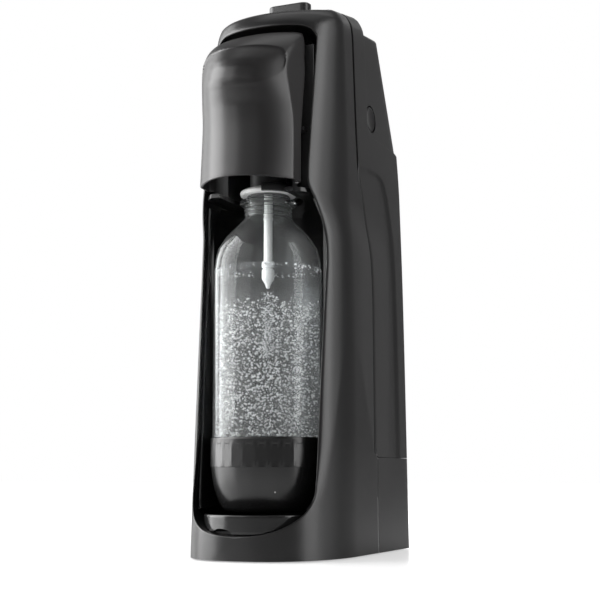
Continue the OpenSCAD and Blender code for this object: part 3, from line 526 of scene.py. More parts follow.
# %% The front housing
def front_shell():
    edge = opening_half()
    n = len(edge)
    q0, z0 = q_of_x(edge[:, 0], edge[:, 1]), edge[:, 1]
    step = np.r_[0, np.cumsum(np.linalg.norm(np.diff(edge, axis=0), axis=1))]
    s = step / step[-1]

    def s_of(x, z):
        return s[np.argmin(np.hypot(edge[:, 0] - x, edge[:, 1] - z))]
    s_side = s_of(ARCH_W / 2, 385)
    s_low, s_u = s_of(BAY_FOOT_W / 2, 60), s_of(40, 28)
    outer_q, outer_z = np.zeros(n), np.zeros(n)
    for i, v in enumerate(s):
        if v <= s_side:                                    # along the top, to the seam
            t = v / s_side
            outer_z[i] = TOP_Z
            outer_q[i] = q_of_y(seam_y(TOP_Z), TOP_Z) * min(1, t) ** 1.05
        elif v <= s_low:                                   # down the seam
            t = (v - s_side) / (s_low - s_side)
            outer_z[i] = TOP_Z + (FOOT_EDGE_Z - TOP_Z) * t
            outer_q[i] = q_of_y(seam_y(outer_z[i]), outer_z[i])
        elif v <= s_u:                                     # down behind the foot's edge
            t = (v - s_low) / (s_u - s_low)
            outer_z[i] = FOOT_EDGE_Z + (FOOT_Z - FOOT_EDGE_Z) * t
            outer_q[i] = q_of_y(FOOT_BACK_Y, outer_z[i])
        else:                                              # along the foot to the middle
            t = (v - s_u) / (1 - s_u)
            outer_z[i] = FOOT_Z
            outer_q[i] = q_of_y(FOOT_BACK_Y, FOOT_Z) * (1 - t) ** 0.85
    lam = np.linspace(0, 1, 160)[:, None]
    dense = skin(q0 + (outer_q - q0) * lam, z0 + (outer_z - z0) * lam)
    run = np.r_[np.zeros((1, n)), np.cumsum(np.linalg.norm(np.diff(dense, axis=0), axis=2), axis=0)]
    nose = np.interp(z0, [SILL_Z, 30, 75, 240, 290, 401], [1.6, 2.2, NOSE, NOSE, 2.4, 2.2])
    lam_nose = np.array([np.interp(nose[i], run[:, i], lam[:, 0]) for i in range(n)])
    spread = np.linspace(0, 1, 44)
    spread = 0.5 * spread + 0.5 * (1 - np.cos(np.pi * spread)) / 2
    lams = lam_nose + (1 - lam_nose) * spread[:, None]
    rings = skin(q0 + (outer_q - q0) * lams, z0 + (outer_z - z0) * lams)
    corner = skin(q0, z0)
    inner = corner + np.stack([np.zeros(n), nose * 1.15, np.zeros(n)], -1)
    arc = [(1 - t) ** 2 * rings[0] + 2 * t * (1 - t) * corner + t * t * inner
           for t in np.linspace(1, 0, 9)[:-1]]
    depth = np.interp(z0, [SILL_Z, 30, 250, 280], [24, 14, 14, 36])
    wall = [inner + np.stack([0 * s, depth * t, 0 * s], -1) for t in (1, 0.5)]
    main = np.array(wall + arc + list(rings))
    # the lip that turns in at the seam, the foot and the top
    normal = skin_normal(outer_q, outer_z)
    edge_pt = rings[-1]
    main[-1] = edge_pt - normal * 0.3
    main[-2] = main[-2] * 0.35 + edge_pt * 0.65
    lip = np.array([main[-1], edge_pt - normal * 0.35, edge_pt - normal * LIP])
    # round the back of the foot
    z_foot = np.linspace(FOOT_Z, FOOT_EDGE_Z, 24)
    qq = np.array([np.linspace(float(q_of_y(FOOT_BACK_Y, z)), 4, 40) for z in z_foot])
    foot = skin(qq, z_foot[:, None] * np.ones_like(qq))
    foot_n = skin_normal(qq[-1], z_foot[-1] * np.ones(40))
    foot_lip = np.array([foot[-1], foot[-1] - foot_n * LIP])
    under = np.array([foot[0], foot[0] - skin_normal(qq[0], FOOT_Z + 0 * qq[0]) * LIP])
    return main, lip, foot, foot_lip, under, (outer_q, outer_z)


# %% [markdown]
# The rear cover is the same skin behind the seam. Below the ledge it runs right round the
# back; above the ledge only a band is left on each side, and the upper block stands in the
# pocket behind it. A shallow recess on its side follows the seam at a distance.

# %% The rear cover
EDGE_DROP, EDGE_RUN = 1.2, 2.0                        # chamfer along the ledge and the pocket
PROUD = 0.9                                           # depth of the recess on the side


def rear_shell():
    n = 250
    keys_s = np.array([0, 0.33, 0.56, 0.62, 0.68, 0.72, 1.0])
    seam_z = np.array([FOOT_EDGE_Z + 0.3, 235, 300, 318, 332, 345, TOP_Z])
    s = np.linspace(0, 1, n)
    z_seam = np.interp(s, keys_s, seam_z)
    q_seam = q_of_y(seam_y(z_seam) + SEAM, z_seam)
    far_z = np.zeros(n)
    far_q = np.zeros(n)
    for i, v in enumerate(s):
        if v <= 0.33:
            far_q[i], far_z[i] = 4, np.interp(v, [0, 0.33], [FOOT_EDGE_Z + 0.3, LEDGE_Z + 0.4])
        elif v <= 0.62:                                    # forward along the ledge
            t = (v - 0.33) / 0.29
            q_end = float(q_of_y(POCKET_Y + 12, LEDGE_Z))
            far_q[i] = 4 + (q_end - 4) * t
            far_z[i] = LEDGE_Z + 0.4 * (1 - t)
        elif v <= 0.72:                                    # round the pocket's corner
            t = (v - 0.62) / 0.10
            a = t * math.pi / 2
            far_z[i] = LEDGE_Z + 13 * (1 - math.cos(a))
            far_q[i] = q_of_y(POCKET_Y + 12 - 12 * math.sin(a), far_z[i])
        else:
            t = (v - 0.72) / 0.28
            far_z[i] = LEDGE_Z + 13 + (TOP_Z - LEDGE_Z - 13) * t
            far_q[i] = q_of_y(POCKET_Y, far_z[i])
    lam = np.linspace(0, 1, 130)[:, None]
    lam[1], lam[-2] = lam[1] * 0.5, 1 - lam[1] * 0.5
    q, z = q_seam + (far_q - q_seam) * lam, z_seam + (far_z - z_seam) * lam
    body = skin(q, z)
    normal = skin_normal(q, z)
    body += normal * (raised(body) - PROUD)[..., None]
    body[0] -= normal[0] * 0.3
    left = np.linalg.norm(body - body[-1], axis=2)             # way still to go to the far edge
    body -= normal * (EDGE_DROP * np.clip(1 - left / EDGE_RUN, 0, 1))[..., None]
    body[q > 3.999, 0] = 0
    lip_a = np.array([body[0], body[0] - normal[0] * LIP])
    lip_b = np.array([body[-1], body[-1] - normal[-1] * 2.4])
    lip_low = np.array([body[:, 0], body[:, 0] - normal[:, 0] * LIP])
    return [body, lip_a, lip_b, lip_low]


def raised(points):
    """The cover stands a little proud above and behind a shallow recess on its side."""
    y, z = points[..., 1], points[..., 2]
    rear = AXIS_Y + np.interp(z, [74, 191, 227, 254, 273, 289, 301],
                              [125.5, 125.5, 125, 122.5, 117.3, 112, 105.5])
    head = np.interp(y - AXIS_Y, [40, 69.5, 89.3, 99, 106], [299, 303.2, 303.6, 302.4, 300])
    past = np.logaddexp((y - rear) / 1.5, (z - head) / 1.5) * 1.5
    return PROUD / (1 + np.exp(-np.clip(past / 0.7, -40, 40)))


# %% Put the two shells together
def strip(loop, drop):
    """A loop of points and the same loop moved in height, as one two-row grid."""
    loop = np.asarray(loop, float)
    return np.array([loop, loop + [0, 0, drop]])


def on_roof(points):
    return [(x, y, roof_z(y)) for x, y in points]


def outline_loop(half_w, half_d, radius, centre, z, steps=8):
    """A rectangle with round corners, as a loop of points at height z."""
    pts = []
    for k, (sx, sy) in enumerate(((1, 1), (-1, 1), (-1, -1), (1, -1))):
        for a in np.radians(np.linspace(90 * k, 90 * k + 90, steps)):
            pts.append((centre[0] + sx * (half_w - radius) + radius * math.cos(a),
                        centre[1] + sy * (half_d - radius) + radius * math.sin(a), z))
    return pts


def flat_cap(name, outer, holes, material, smooth_deg=35):
    """A flat face with holes, made by filling its edge loops."""
    mesh = bpy.data.meshes.new(name)
    work = bmesh.new()
    edges = []
    for loop in (outer, *holes):
        vs = [work.verts.new(tuple(np.array(p, float) * MM)) for p in loop]
        edges += [work.edges.new((vs[i - 1], vs[i])) for i in range(len(vs))]
    bmesh.ops.triangle_fill(work, edges=edges, use_beauty=True)
    for face in work.faces:
        face.normal_update()
        if face.normal.z < 0:
            face.normal_flip()
    return finished(work, mesh, name, material, smooth_deg)


def joined(first, *others):
    """One object from several, with touching edges merged."""
    work = bmesh.new()
    for o in (first, *others):
        work.from_mesh(o.data)
    bmesh.ops.remove_doubles(work, verts=work.verts, dist=1.5 * MERGE)
    work.to_mesh(first.data)
    work.free()
    for o in others:
        bpy.data.objects.remove(o, do_unlink=True)
    shade(first, 35)
    return first


TONGUE_X, TONGUE_Y = 30.0, 15.75
BUTTON_Y = AXIS_Y + 41.5
main, lip, foot, foot_lip, under, (outer_q, outer_z) = front_shell()
on_top = outer_z >= TOP_Z - 1e-6
top_edge = skin(outer_q[on_top], TOP_Z + 0 * outer_q[on_top])
main[-1][on_top] = top_edge
main[-2][on_top] = main[-3][on_top] * 0.5 + top_edge * 0.5
side_from = int(np.argmax(~on_top)) - 1
verts, faces = both_halves([main, lip[:, side_from:], foot, foot_lip, under])
housing = new_object("front_housing_skin", verts, faces, housing_finish, from_middle=True)
seam_top = [(TONGUE_X + 3, top_edge[-1][1]), (TONGUE_X, top_edge[-1][1] + 3), (TONGUE_X, TONGUE_Y - 3),
            (TONGUE_X - 3, TONGUE_Y)]
right_edge = [tuple(p) for p in top_edge] + on_roof(seam_top)
roof_loop = right_edge + [(-x, y, z) for x, y, z in reversed(right_edge[1:])]
button_hole = on_roof(p[:2] for p in outline_loop(17.6, 7.8, 6, (0, BUTTON_Y), TOP_Z))
roof = flat_cap("housing_roof", roof_loop, [button_hole], housing_finish)
back_edge = [p for p in roof_loop if p[1] >= top_edge[-1][1] - 1e-3]
back_edge.sort(key=lambda p: (round(p[0], 3), p[1] if p[0] < 0 else -p[1]))
verts, faces = [], []
for loop, closed in ((back_edge, False), (button_hole, True)):
    loop = loop + [loop[0]] if closed else loop
    add_grid(verts, faces, strip(loop, -5))
roof_lips = new_object("roof_lips", verts, faces, housing_finish)
housing = joined(housing, roof, roof_lips)
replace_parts(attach(housing, "housing"), "front_housing")
print("housing faces:", len(housing.data.polygons))

verts, faces = both_halves(rear_shell())
cover = new_object("rear_cover_skin", verts, faces, cover_finish, from_middle=True)
front_y, back_y_top = top_edge[-1][1] + SEAM, POCKET_Y
side_q = np.linspace(float(q_of_y(front_y, TOP_Z)), float(q_of_y(back_y_top, TOP_Z)), 12)
side_edge = [tuple(p) for p in skin(side_q, TOP_Z + 0 * side_q)]
inner_x = TONGUE_X + SEAM
inner_y = TONGUE_Y + SEAM
front_edge = on_roof([(inner_x + 3, front_y), (inner_x, front_y + 3), (inner_x, inner_y - 3),
                      (inner_x - 3, inner_y)])
half = front_edge[::-1] + side_edge
cover_loop = half + [(-x, y, z) for x, y, z in reversed(half)]
cover_roof = flat_cap("cover_roof", cover_loop, [], cover_finish)
verts, faces = [], []
lip_edge = [side_edge[0]] + front_edge
for loop in ([(-x, y, z) for x, y, z in reversed(lip_edge)], lip_edge,
             on_roof([(inner_x - 3, inner_y), (-inner_x + 3, inner_y)])):
    add_grid(verts, faces, strip(loop, -5))
end_wall = [side_edge[-1], (-side_edge[-1][0], side_edge[-1][1], side_edge[-1][2])]
add_grid(verts, faces, strip(end_wall, -17))
cover_lips = new_object("cover_lips", verts, faces, cover_finish)
cover = joined(cover, cover_roof, cover_lips)
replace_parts(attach(cover, "rear_cover"), "rear_cover")
print("cover faces:", len(cover.data.polygons))

# %% [markdown]
# The seam between the two shells holds a near-black, matt band, set a little below the skin: painted shade
# for the gap.
# It is a narrow band of the same skin, moved inwards, so it follows the seam everywhere.
# It is a narrow band of the same skin, moved inwards, so it follows the seam everywhere.

# %% Painted shade in the seam
SEAM_SHADE_DEPTH = 1.5
heights = np.linspace(FOOT_EDGE_Z + 1, TOP_Z - 0.6, 160)[:, None]
shares = np.linspace(0.02, 0.88, 5)[None, :]
z_band = heights * np.ones_like(shares)
q_band = q_of_y(seam_y(heights) + SEAM * shares, z_band)
band = skin(q_band, z_band) - skin_normal(q_band, z_band) * SEAM_SHADE_DEPTH
verts, faces = both_halves([band])
# painted shade: a near-black sheet standing for the shade deep in the seam
seam_shade_band = new_object("seam_gasket", verts, faces, seam_shade_finish, from_middle=True)
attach(seam_shade_band, "housing")

# %% [markdown]
# Behind the seam at the top stands the valve block, a box whose rear leans forward and
# whose upright corners are tight. It is lofted as one closed solid with a soft top edge,
# and the two round latch holes are cut with a boolean.

# %% The upper block
BLOCK_FOOT_Z, BLOCK_TOP_Z, BLOCK_RISE, BLOCK_LEAN, BLOCK_BACK = 334.4, 420.5, 4.7, 0.402, 5.2
LATCH_Y, LATCH_Z, LATCH_R, LATCH_GAP = AXIS_Y + 86.6, 350.5, 10.2, 1.0


def block_half_w(z):
    return 53.3 - (z - BLOCK_FOOT_Z) * 0.033


def block_row(z, inset, radius=5.2, steps=10):
    rise = BLOCK_RISE * max(0, z - BLOCK_FOOT_Z) / (BLOCK_TOP_Z - BLOCK_FOOT_Z)
    hw = block_half_w(z) - inset
    back = REAR_Y - BLOCK_BACK - (z + rise - BLOCK_FOOT_Z) * BLOCK_LEAN - inset
    front = POCKET_Y + 0.3
    plan = [(hw, front)]
    plan += [(hw, y) for y in np.linspace(front, back - radius, 8)[1:-1]]
    plan += [(hw - radius + radius * math.cos(a), back - radius + radius * math.sin(a))
             for a in np.radians(np.linspace(0, 90, steps))]
    pts = [(x, y, z + rise * (y - POCKET_Y) / (back - POCKET_Y)) for x, y in plan]
    return pts + [(-x, y, zz) for x, y, zz in reversed(pts)]


def capped_loft(name, rows, material, smooth_deg=35):
    n = len(rows[0])
    verts = [p for row in rows for p in row]
    faces = grid_faces(len(rows), n, closed=True)
    faces += [tuple(range(n)), tuple((len(rows) - 1) * n + i for i in range(n))]
    return new_object(name, verts, faces, material, smooth_deg)


def drill(obj, radius, depth, place, segments):
    """Cut a round hole, all sizes in metres. The cutter goes away and nothing is left live."""
    work = bmesh.new()
    bmesh.ops.create_cone(work, cap_ends=True, segments=segments, radius1=radius, radius2=radius,
                          depth=depth, matrix=place)
    mesh = bpy.data.meshes.new("cutter")
    work.to_mesh(mesh)
    work.free()
    cutter = linked("cutter", mesh)
    modifier = obj.modifiers.new("cut", "BOOLEAN")
    modifier.object, modifier.solver = cutter, "EXACT"
    evaluated = obj.evaluated_get(bpy.context.evaluated_depsgraph_get())
    mesh = bpy.data.meshes.new_from_object(evaluated)
    obj.modifiers.clear()
    obj.data = mesh
    bpy.data.objects.remove(cutter, do_unlink=True)
    shade(obj, 30)


BLOCK_EDGE = 2.6
rows = [block_row(z, 0) for z in np.linspace(BLOCK_FOOT_Z, BLOCK_TOP_Z - BLOCK_EDGE, 12)]
rows += [block_row(BLOCK_TOP_Z - BLOCK_EDGE + BLOCK_EDGE * math.sin(a), BLOCK_EDGE * (1 - math.cos(a)))
         for a in np.radians(np.linspace(15, 90, 6))]
block = capped_loft("valve_block_skin", rows, cover_finish)
for side in (1, -1):
    turn = (Matrix.Translation((side * 0.05, LATCH_Y * MM, LATCH_Z * MM))
            @ Matrix.Rotation(math.pi / 2, 4, "Y"))
    drill(block, (LATCH_R + LATCH_GAP) * MM, 0.014, turn, 96)
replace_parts(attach(block, "housing"), "valve_block_cover")
print("block faces:", len(block.data.polygons))

# %% [markdown]
# The latches are round push plates with a softened edge and a shallow dish, one on each
# side of the block. Each slides on its own body.

# %% Side latches
for side, word in ((1, "right"), (-1, "left")):
    face_x = block_half_w(LATCH_Z) - 0.2
    profile = [(0, face_x - 0.5), (LATCH_R * 0.5, face_x - 0.42), (LATCH_R * 0.8, face_x - 0.15),
               (LATCH_R - 1.1, face_x), (LATCH_R - 0.5, face_x - 0.08), (LATCH_R - 0.12, face_x - 0.4),
               (LATCH_R, face_x - 0.9), (LATCH_R, face_x - 4), (3, face_x - 4),
               (3, face_x - 19), (0, face_x - 19)]
    ring = np.radians(np.arange(96) * 3.75)
    verts = [(side * x, LATCH_Y + r * math.cos(a), LATCH_Z + r * math.sin(a))
             for r, x in profile for a in ring]
    plate = new_object(f"latch_plate_{word}", verts, grid_faces(len(profile), 96, closed=True),
                       cover_finish)
    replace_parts(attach(plate, f"latch_{word}"), f"latch_button_{word}")

# %% [markdown]
# The head panel is the satin brow over the bottle. Its middle line leans out to a brow
# at about 350 mm, then sweeps back over the top. The same slice as in the CAD is laid on
# smooth curves, with a soft lower edge, a ridge near each side and a shallow hollow on top.

# %% The head panel
HOOD_Z, HOOD_TOP, BROW = 274.0, 399.0, 72.0
hood_reach = smooth_table([(z, BROW - back) for z, back in (
    (274, 5.6), (286, 7.2), (310, 8.6), (326, 7), (338, 3.2), (347, 0.4), (354, 1), (361, 3.5), (368, 8.5),
    (375, 16), (382, 26), (389, 38), (395, 51), (397.5, 60), (399, 68))])
ridge_x = smooth_table([(274, 38.3), (318, 37.5), (338, 36.3), (357, 35), (368, 35.6), (380, 36.2),
                        (390, 34.5), (396, 30), (399, 24)])
ridge_reach = smooth_table([(274, 39.6), (318, 38), (338, 41.4), (357, 44.7), (366, 43), (374, 38.5),
                            (382, 31.5), (389, 23.5), (395, 13), (399, 2)])
side_back = smooth_table([(274, 27), (305, 27), (337, 23), (358, 19.5), (379, 16.5), (389, 15),
                          (395, 9), (399, -4)])
side_x = smooth_table([(274, 39.2), (380, 39.2), (388, 38.4), (393, 36.2), (396.5, 32.5), (399, 26)])
edge_round = smooth_table([(274, 0.6), (356, 0.6), (364, 1.4), (372, 3.0), (399, 4)])
hollow_top = smooth_table([(0, 373.6), (20, 373.8), (30, 373), (33.5, 369), (35, 362), (60, 362)])
hollow_foot = smooth_table([(0, 340), (10, 340.6), (20, 342.8), (28, 347.5), (33.5, 354.5), (35, 362),
                            (60, 362)])
HOLLOW = 2.4


def hood_half(z):
    """Half a slice of the panel: across the front, over the ridge, along the side and in."""
    t = np.linspace(0, 1, 72)
    yc, yr, xr = -hood_reach(z), -ridge_reach(z), ridge_x(z)
    front = np.stack([xr * t, yc + (yr - yc) * t ** 2.2], -1)
    yb, xb = max(-side_back(z), float(yr) + 0.6), max(float(side_x(z)), float(xr) + 0.1)
    s = np.linspace(0, 1, 26)[1:, None]
    side = front[-1] + (np.array([xb, yb]) - front[-1]) * s
    lip = side[-1] + np.array([-3.2, 1.6]) * np.linspace(0, 1, 8)[1:, None]
    return np.concatenate([front, side, lip])


STEP = 0.25                                           # millimetres between averaged points


def softened(line, width):
    """The same line with its corners rounded: a Gaussian average over its own length."""
    whole = np.concatenate([(line * [-1, 1])[:0:-1], line])
    run = np.r_[0, np.cumsum(np.hypot(*np.diff(whole, axis=0).T))]
    even = np.arange(0, run[-1], STEP)
    pts = np.stack([np.interp(even, run, whole[:, k]) for k in (0, 1)], -1)
    reach = int(4 * width / STEP)
    kernel = np.exp(-0.5 * (np.arange(-reach, reach + 1) * STEP / width) ** 2)
    padded = np.concatenate([2 * pts[0] - pts[reach:0:-1], pts, 2 * pts[-1] - pts[-2:-reach - 2:-1]])
    kernel /= kernel.sum()
    pts = np.stack([np.convolve(padded[:, k], kernel, "valid") for k in (0, 1)], -1)
    return np.stack([np.interp(run, even, pts[:, k]) for k in (0, 1)], -1)


def hollow(x, z):
    """Depth of the lens-shaped hollow above the brow: steep under its upper crease."""
    top, foot = hollow_top(abs(x)), hollow_foot(abs(x))
    v = np.clip((top - z) / np.maximum(top - foot, 0.1), 0, 1)
    span = np.clip((top - foot) / 33, 0, 1)
    return HOLLOW * span ** 0.8 * 2.6 * v ** 0.55 * (1 - v) ** 1.15


levels = np.r_[np.linspace(HOOD_Z, 334, 50)[:-1], np.linspace(334, 380, 94)[:-1],
               np.linspace(380, HOOD_TOP, 34)]
rows = []
for z in levels:
    row = softened(hood_half(z), float(edge_round(z)))
    dip = hollow(row[:, 0], z)
    lean = np.clip((z - 345) / 45, 0, 0.75)
    back = AXIS_Y + row[:, 1] + dip * np.sqrt(1 - lean ** 2)
    rows.append(np.stack([row[:, 0], back, z - dip * lean], -1))
grid = np.array(rows)
inward = grid[0] - np.array([0, AXIS_Y - 20, 0])
inward /= np.linalg.norm(inward[:, :2], axis=1)[:, None]
low = [np.concatenate([grid[0][:, :2] - inward[:, :2] * i,
                       np.full((grid.shape[1], 1), HOOD_Z + dz)], 1)
       for i, dz in ((2.7, 11.0), (2.5, 1.2), (2.2, 0.3), (1.6, 0.0), (0.8, 0.0), (0.25, 0.35))]
grid = np.array(low + list(grid[1:]))
verts, faces = both_halves([grid])
panel = new_object("head_panel_skin", verts, faces, head_finish, from_middle=True)
top_half = [tuple(p) for p in grid[-1]]
top_loop = top_half + [(-x, y, z) for x, y, z in reversed(top_half[1:])]
panel_cap = flat_cap("panel_cap", top_loop, [], head_finish)
panel = joined(panel, panel_cap)
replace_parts(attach(panel, "housing"), "head_panel")
print("panel faces:", len(panel.data.polygons))

# %% [markdown]
# The push button is an oval cap whose top slopes towards the front, with a soft rim.

# %% The push button
BUTTON_TOP, SKIRT_Z, SLOPE = 440.0, 413.0, math.tan(math.radians(8))


def button_row(z_mid, inset, sloped=True):
    loop = outline_loop(17.3 - inset, 7.5 - inset, 6 - min(inset, 3), (0, BUTTON_Y), 0, steps=12)
    return [(x, y, z_mid + (y - BUTTON_Y) * SLOPE * sloped) for x, y, _ in loop]


rows = [button_row(BUTTON_TOP - 4.2, 1.9, False), button_row(SKIRT_Z, 1.9, False),
        button_row(SKIRT_Z, 0, False), button_row(BUTTON_TOP - 5, 0)]
rows += [button_row(BUTTON_TOP - 1.6 + 1.6 * math.sin(a), 1.6 * (1 - math.cos(a)))
         for a in np.radians(np.linspace(0, 90, 7))]
rows += [button_row(BUTTON_TOP - 0.05, 2.6), button_row(BUTTON_TOP - 0.12, 4.2)]
button = capped_loft("push_button_cap", rows, button_finish)
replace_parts(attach(button, "button"), "push_button")

# %% [markdown]
# Behind the gap between the panel and the arch stand two dark shrouds. They close most of
# the view into the machine. Above 385 mm they stop, and there the gap stays open.

# %% Shrouds beside the head
SHROUD_Y, CHEEK_OUT, SHROUD_OUT, SHROUD_SPAN = AXIS_Y - 10.5, 31.2, ARCH_W / 2 - 0.1, (271.2, 385)
verts, faces = [], []
for side in (1, -1):
    k = len(verts)
    verts += [(side * x, SHROUD_Y + y, z) for z in SHROUD_SPAN
              for x, y in ((CHEEK_OUT, 0), (SHROUD_OUT, 0), (SHROUD_OUT, 1.2), (CHEEK_OUT, 1.2))]
    faces += [(k, k + 1, k + 2, k + 3), (k + 4, k + 5, k + 6, k + 7)]
    faces += [(k + i, k + (i + 1) % 4, k + 4 + (i + 1) % 4, k + 4 + i) for i in range(4)]
shroud = new_object("head_shroud", verts, faces, inner_finish)
bevel = shroud.modifiers.new("soft edge", "BEVEL")
bevel.width, bevel.segments = 0.0004, 2
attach(shroud, "housing")

# %% [markdown]
# The bottle is clear moulded plastic with a real wall, so light bends through it twice.
# Its profile is turned about the upright axis: neck ring, sloping shoulder, straight side
# and a rounded foot with a dimple.

# %% Bottle and water
# both indices of refraction are below the real ones, chosen for the look of thin walls
clear_finish = clear("clear_bottle", (0.98, 0.99, 0.99), 1.2, 0.0, (0.93, 0.93, 0.93), bottle_veil)
water_finish = clear("carbonated_water", (0.98, 0.99, 1.0), 1.16, 0.0, (0.95, 0.96, 0.96), water_veil)
MOUTH_Z, BOTTLE_Z, BOTTLE_R, NECK_R, BOTTLE_WALL = 270.0, 40.0, 41.0, 17.5, 1.5
shoulder = [(NECK_R + 3.4, MOUTH_Z - 19), (NECK_R + 10, MOUTH_Z - 25.5), (BOTTLE_R - 8.3, MOUTH_Z - 31),
            (BOTTLE_R - 2.9, MOUTH_Z - 40), (BOTTLE_R - 1, MOUTH_Z - 48.5), (BOTTLE_R, MOUTH_Z - 58)]
# the foot: how far inside BOTTLE_R and how far above BOTTLE_Z each point lies
FOOT_OUT = [(0, 34), (1.2, 26), (3.2, 18), (6.2, 12), (10.5, 6.5), (16, 3)]
FOOT_IN = [(17, 4.5), (12, 8), (7.7, 13.5), (4.7, 19), (2.7, 27), (1.5, 35)]
outer = [(NECK_R - BOTTLE_WALL, MOUTH_Z), (NECK_R, MOUTH_Z), (NECK_R, MOUTH_Z - 2), (21.5, MOUTH_Z - 2.1),
         (21.5, MOUTH_Z - 5), (NECK_R, MOUTH_Z - 6), (NECK_R, MOUTH_Z - 15)] + shoulder
outer += [(BOTTLE_R - r, BOTTLE_Z + z) for r, z in FOOT_OUT] + [(0, BOTTLE_Z + 3)]
inner = [(0, BOTTLE_Z + 4.5)] + [(BOTTLE_R - r, BOTTLE_Z + z) for r, z in FOOT_IN]
inner += [(r - BOTTLE_WALL, z - 0.5) for r, z in reversed(shoulder)]
inner += [(NECK_R - BOTTLE_WALL, MOUTH_Z - 16)]
bottle_skin = lathe("bottle_walls", outer + inner + [outer[0]], clear_finish, "bottle", (0, AXIS_Y))
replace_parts(bottle_skin, "bottle")
WATER_Z = 215.0
WET_FOOT = [(17, 4.6), (12.1, 8), (7.8, 13.5), (4.8, 19), (2.8, 27), (1.55, 35)]
wet = [(0, BOTTLE_Z + 4.6)] + [(BOTTLE_R - r, BOTTLE_Z + z) for r, z in WET_FOOT]
wet += [(BOTTLE_R - 1.55, 211), (BOTTLE_R - 1.7, WATER_Z), (0, WATER_Z)]
water_body = lathe("water_body", wet, water_finish, "bottle", (0, AXIS_Y))
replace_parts(water_body, "water")

# %% [markdown]
# Small repeated parts are grown with Geometry Nodes. `Growth` is the same kind of helper as
# `Shader`, on a geometry tree: its inputs are named, and `grow` sets them on the modifier,
# evaluates it once and keeps a plain mesh.

# %% Geometry Nodes helper
class Growth(Shader):
    KINDS = {int: "NodeSocketInt", float: "NodeSocketFloat"}

    def __init__(self, name, **inputs):
        self.tree = bpy.data.node_groups.new(name, "GeometryNodeTree")
        self.inputs = inputs
        self.socket("Geometry", "INPUT", "NodeSocketGeometry")
        self.ids = {key: self.socket(key, "INPUT", self.KINDS[type(value)])
                    for key, value in inputs.items()}
        self.socket("Geometry", "OUTPUT", "NodeSocketGeometry")
        self.entry = self.tree.nodes.new("NodeGroupInput")

    def socket(self, name, side, kind):
        return self.tree.interface.new_socket(name=name, in_out=side, socket_type=kind).identifier

    def __getitem__(self, key):
        return Wire(self, self.entry.outputs[key])

    def end(self, geometry, material):
        real = self.node("GeometryNodeRealizeInstances", None, geometry)
        smooth = self.node("GeometryNodeSetShadeSmooth", None, real)
        done = self.node("GeometryNodeSetMaterial", None, smooth, Material=material)
        self.link(self.tree.nodes.new("NodeGroupOutput").inputs[0], done)

    def grow(self, name, body, start=None, move=None, **values):
        base = start or linked(name + "_seed", bpy.data.meshes.new(name + "_seed"))
        modifier = base.modifiers.new("grow", "NODES")
        modifier.node_group = self.tree
        for key, value in {**self.inputs, **values}.items():
            modifier[self.ids[key]] = value
        evaluated = base.evaluated_get(bpy.context.evaluated_depsgraph_get())
        mesh = bpy.data.meshes.new_from_object(evaluated)
        bpy.data.objects.remove(base, do_unlink=True)
        if move is not None:
            mesh.transform(move)
        obj = linked(name, mesh)
        print(name, "faces:", len(mesh.polygons))
        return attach(obj, body)


def moved(x, y, z, turn=0.0, axis="Y"):
    """A place in millimetres, with a turn about one axis."""
    return Matrix.Translation((x * MM, y * MM, z * MM)) @ Matrix.Rotation(math.radians(turn), 4, axis)

# %% [markdown]
# Carbonated water is full of small bubbles that rise from the jet. Each is a tiny sphere of
# few faces, placed at random inside the water with a fixed seed. Smaller ones are far more
# common, so a random number is raised to a power before it becomes a size.

# %% Bubbles
# the bubbles' pale grey is painted glint: clear air bubbles shine by the light they reflect, and this colour
# stands in for it
bubble_glint_finish = moulded("bubble_gleam", (0.6, 0.6, 0.6), 0.12, grain=0.0, colour_drift=0.02)
cloud = Growth("bubble_cloud", Count=9200, Radius=0.0385, Foot=0.048, Height=0.142, Size=0.00095, Seed=7,
               Spread=0.5)


def random_number(tree, low, high, offset):
    made = tree.tree.nodes.new("FunctionNodeRandomValue")
    tree.link(made.inputs["Seed"], tree["Seed"] + float(offset))
    return Wire(tree, made.outputs[1]) * (high - low) + low


angle = random_number(cloud, 0, 2 * math.pi, 1)
reach = (random_number(cloud, 0, 1, 2) ** cloud["Spread"]) * cloud["Radius"]
height = (random_number(cloud, 0, 1, 3) ** 1.15) * cloud["Height"] + cloud["Foot"]
spot = cloud.node("ShaderNodeCombineXYZ", None, (angle + math.pi / 2).sine() * reach,
                  angle.sine() * reach, height)
points = cloud.node("GeometryNodePoints", None, Count=cloud["Count"], Position=spot)
ball = cloud.node("GeometryNodeMeshIcoSphere", None, Radius=1.0, Subdivisions=1)
size = (random_number(cloud, 0.42, 1, 4) ** 3.6) * cloud["Size"]
sown = cloud.node("GeometryNodeInstanceOnPoints", None, points, Instance=ball, Scale=size)
cloud.end(sown, bubble_glint_finish)
bubbles = cloud.grow("bubble_cloud", "bottle", move=moved(0, AXIS_Y, 0))
jet = cloud.grow("bubble_jet", "bottle", move=moved(0, AXIS_Y, 0), Count=700, Radius=0.0045, Foot=0.150,
                 Height=0.048, Size=0.0007, Seed=40)
surface = cloud.grow("bubble_surface", "bottle", move=moved(0, AXIS_Y, 0), Count=260, Radius=0.0385,
                     Foot=0.2135, Height=0.0012, Size=0.0009, Seed=90, Spread=0.12)

# %% [markdown]
# Springs are wire wound on a helix whose pitch closes at both ends, so that the last coils
# lie flat. The tree bends a spiral in height and sweeps a round section along it.

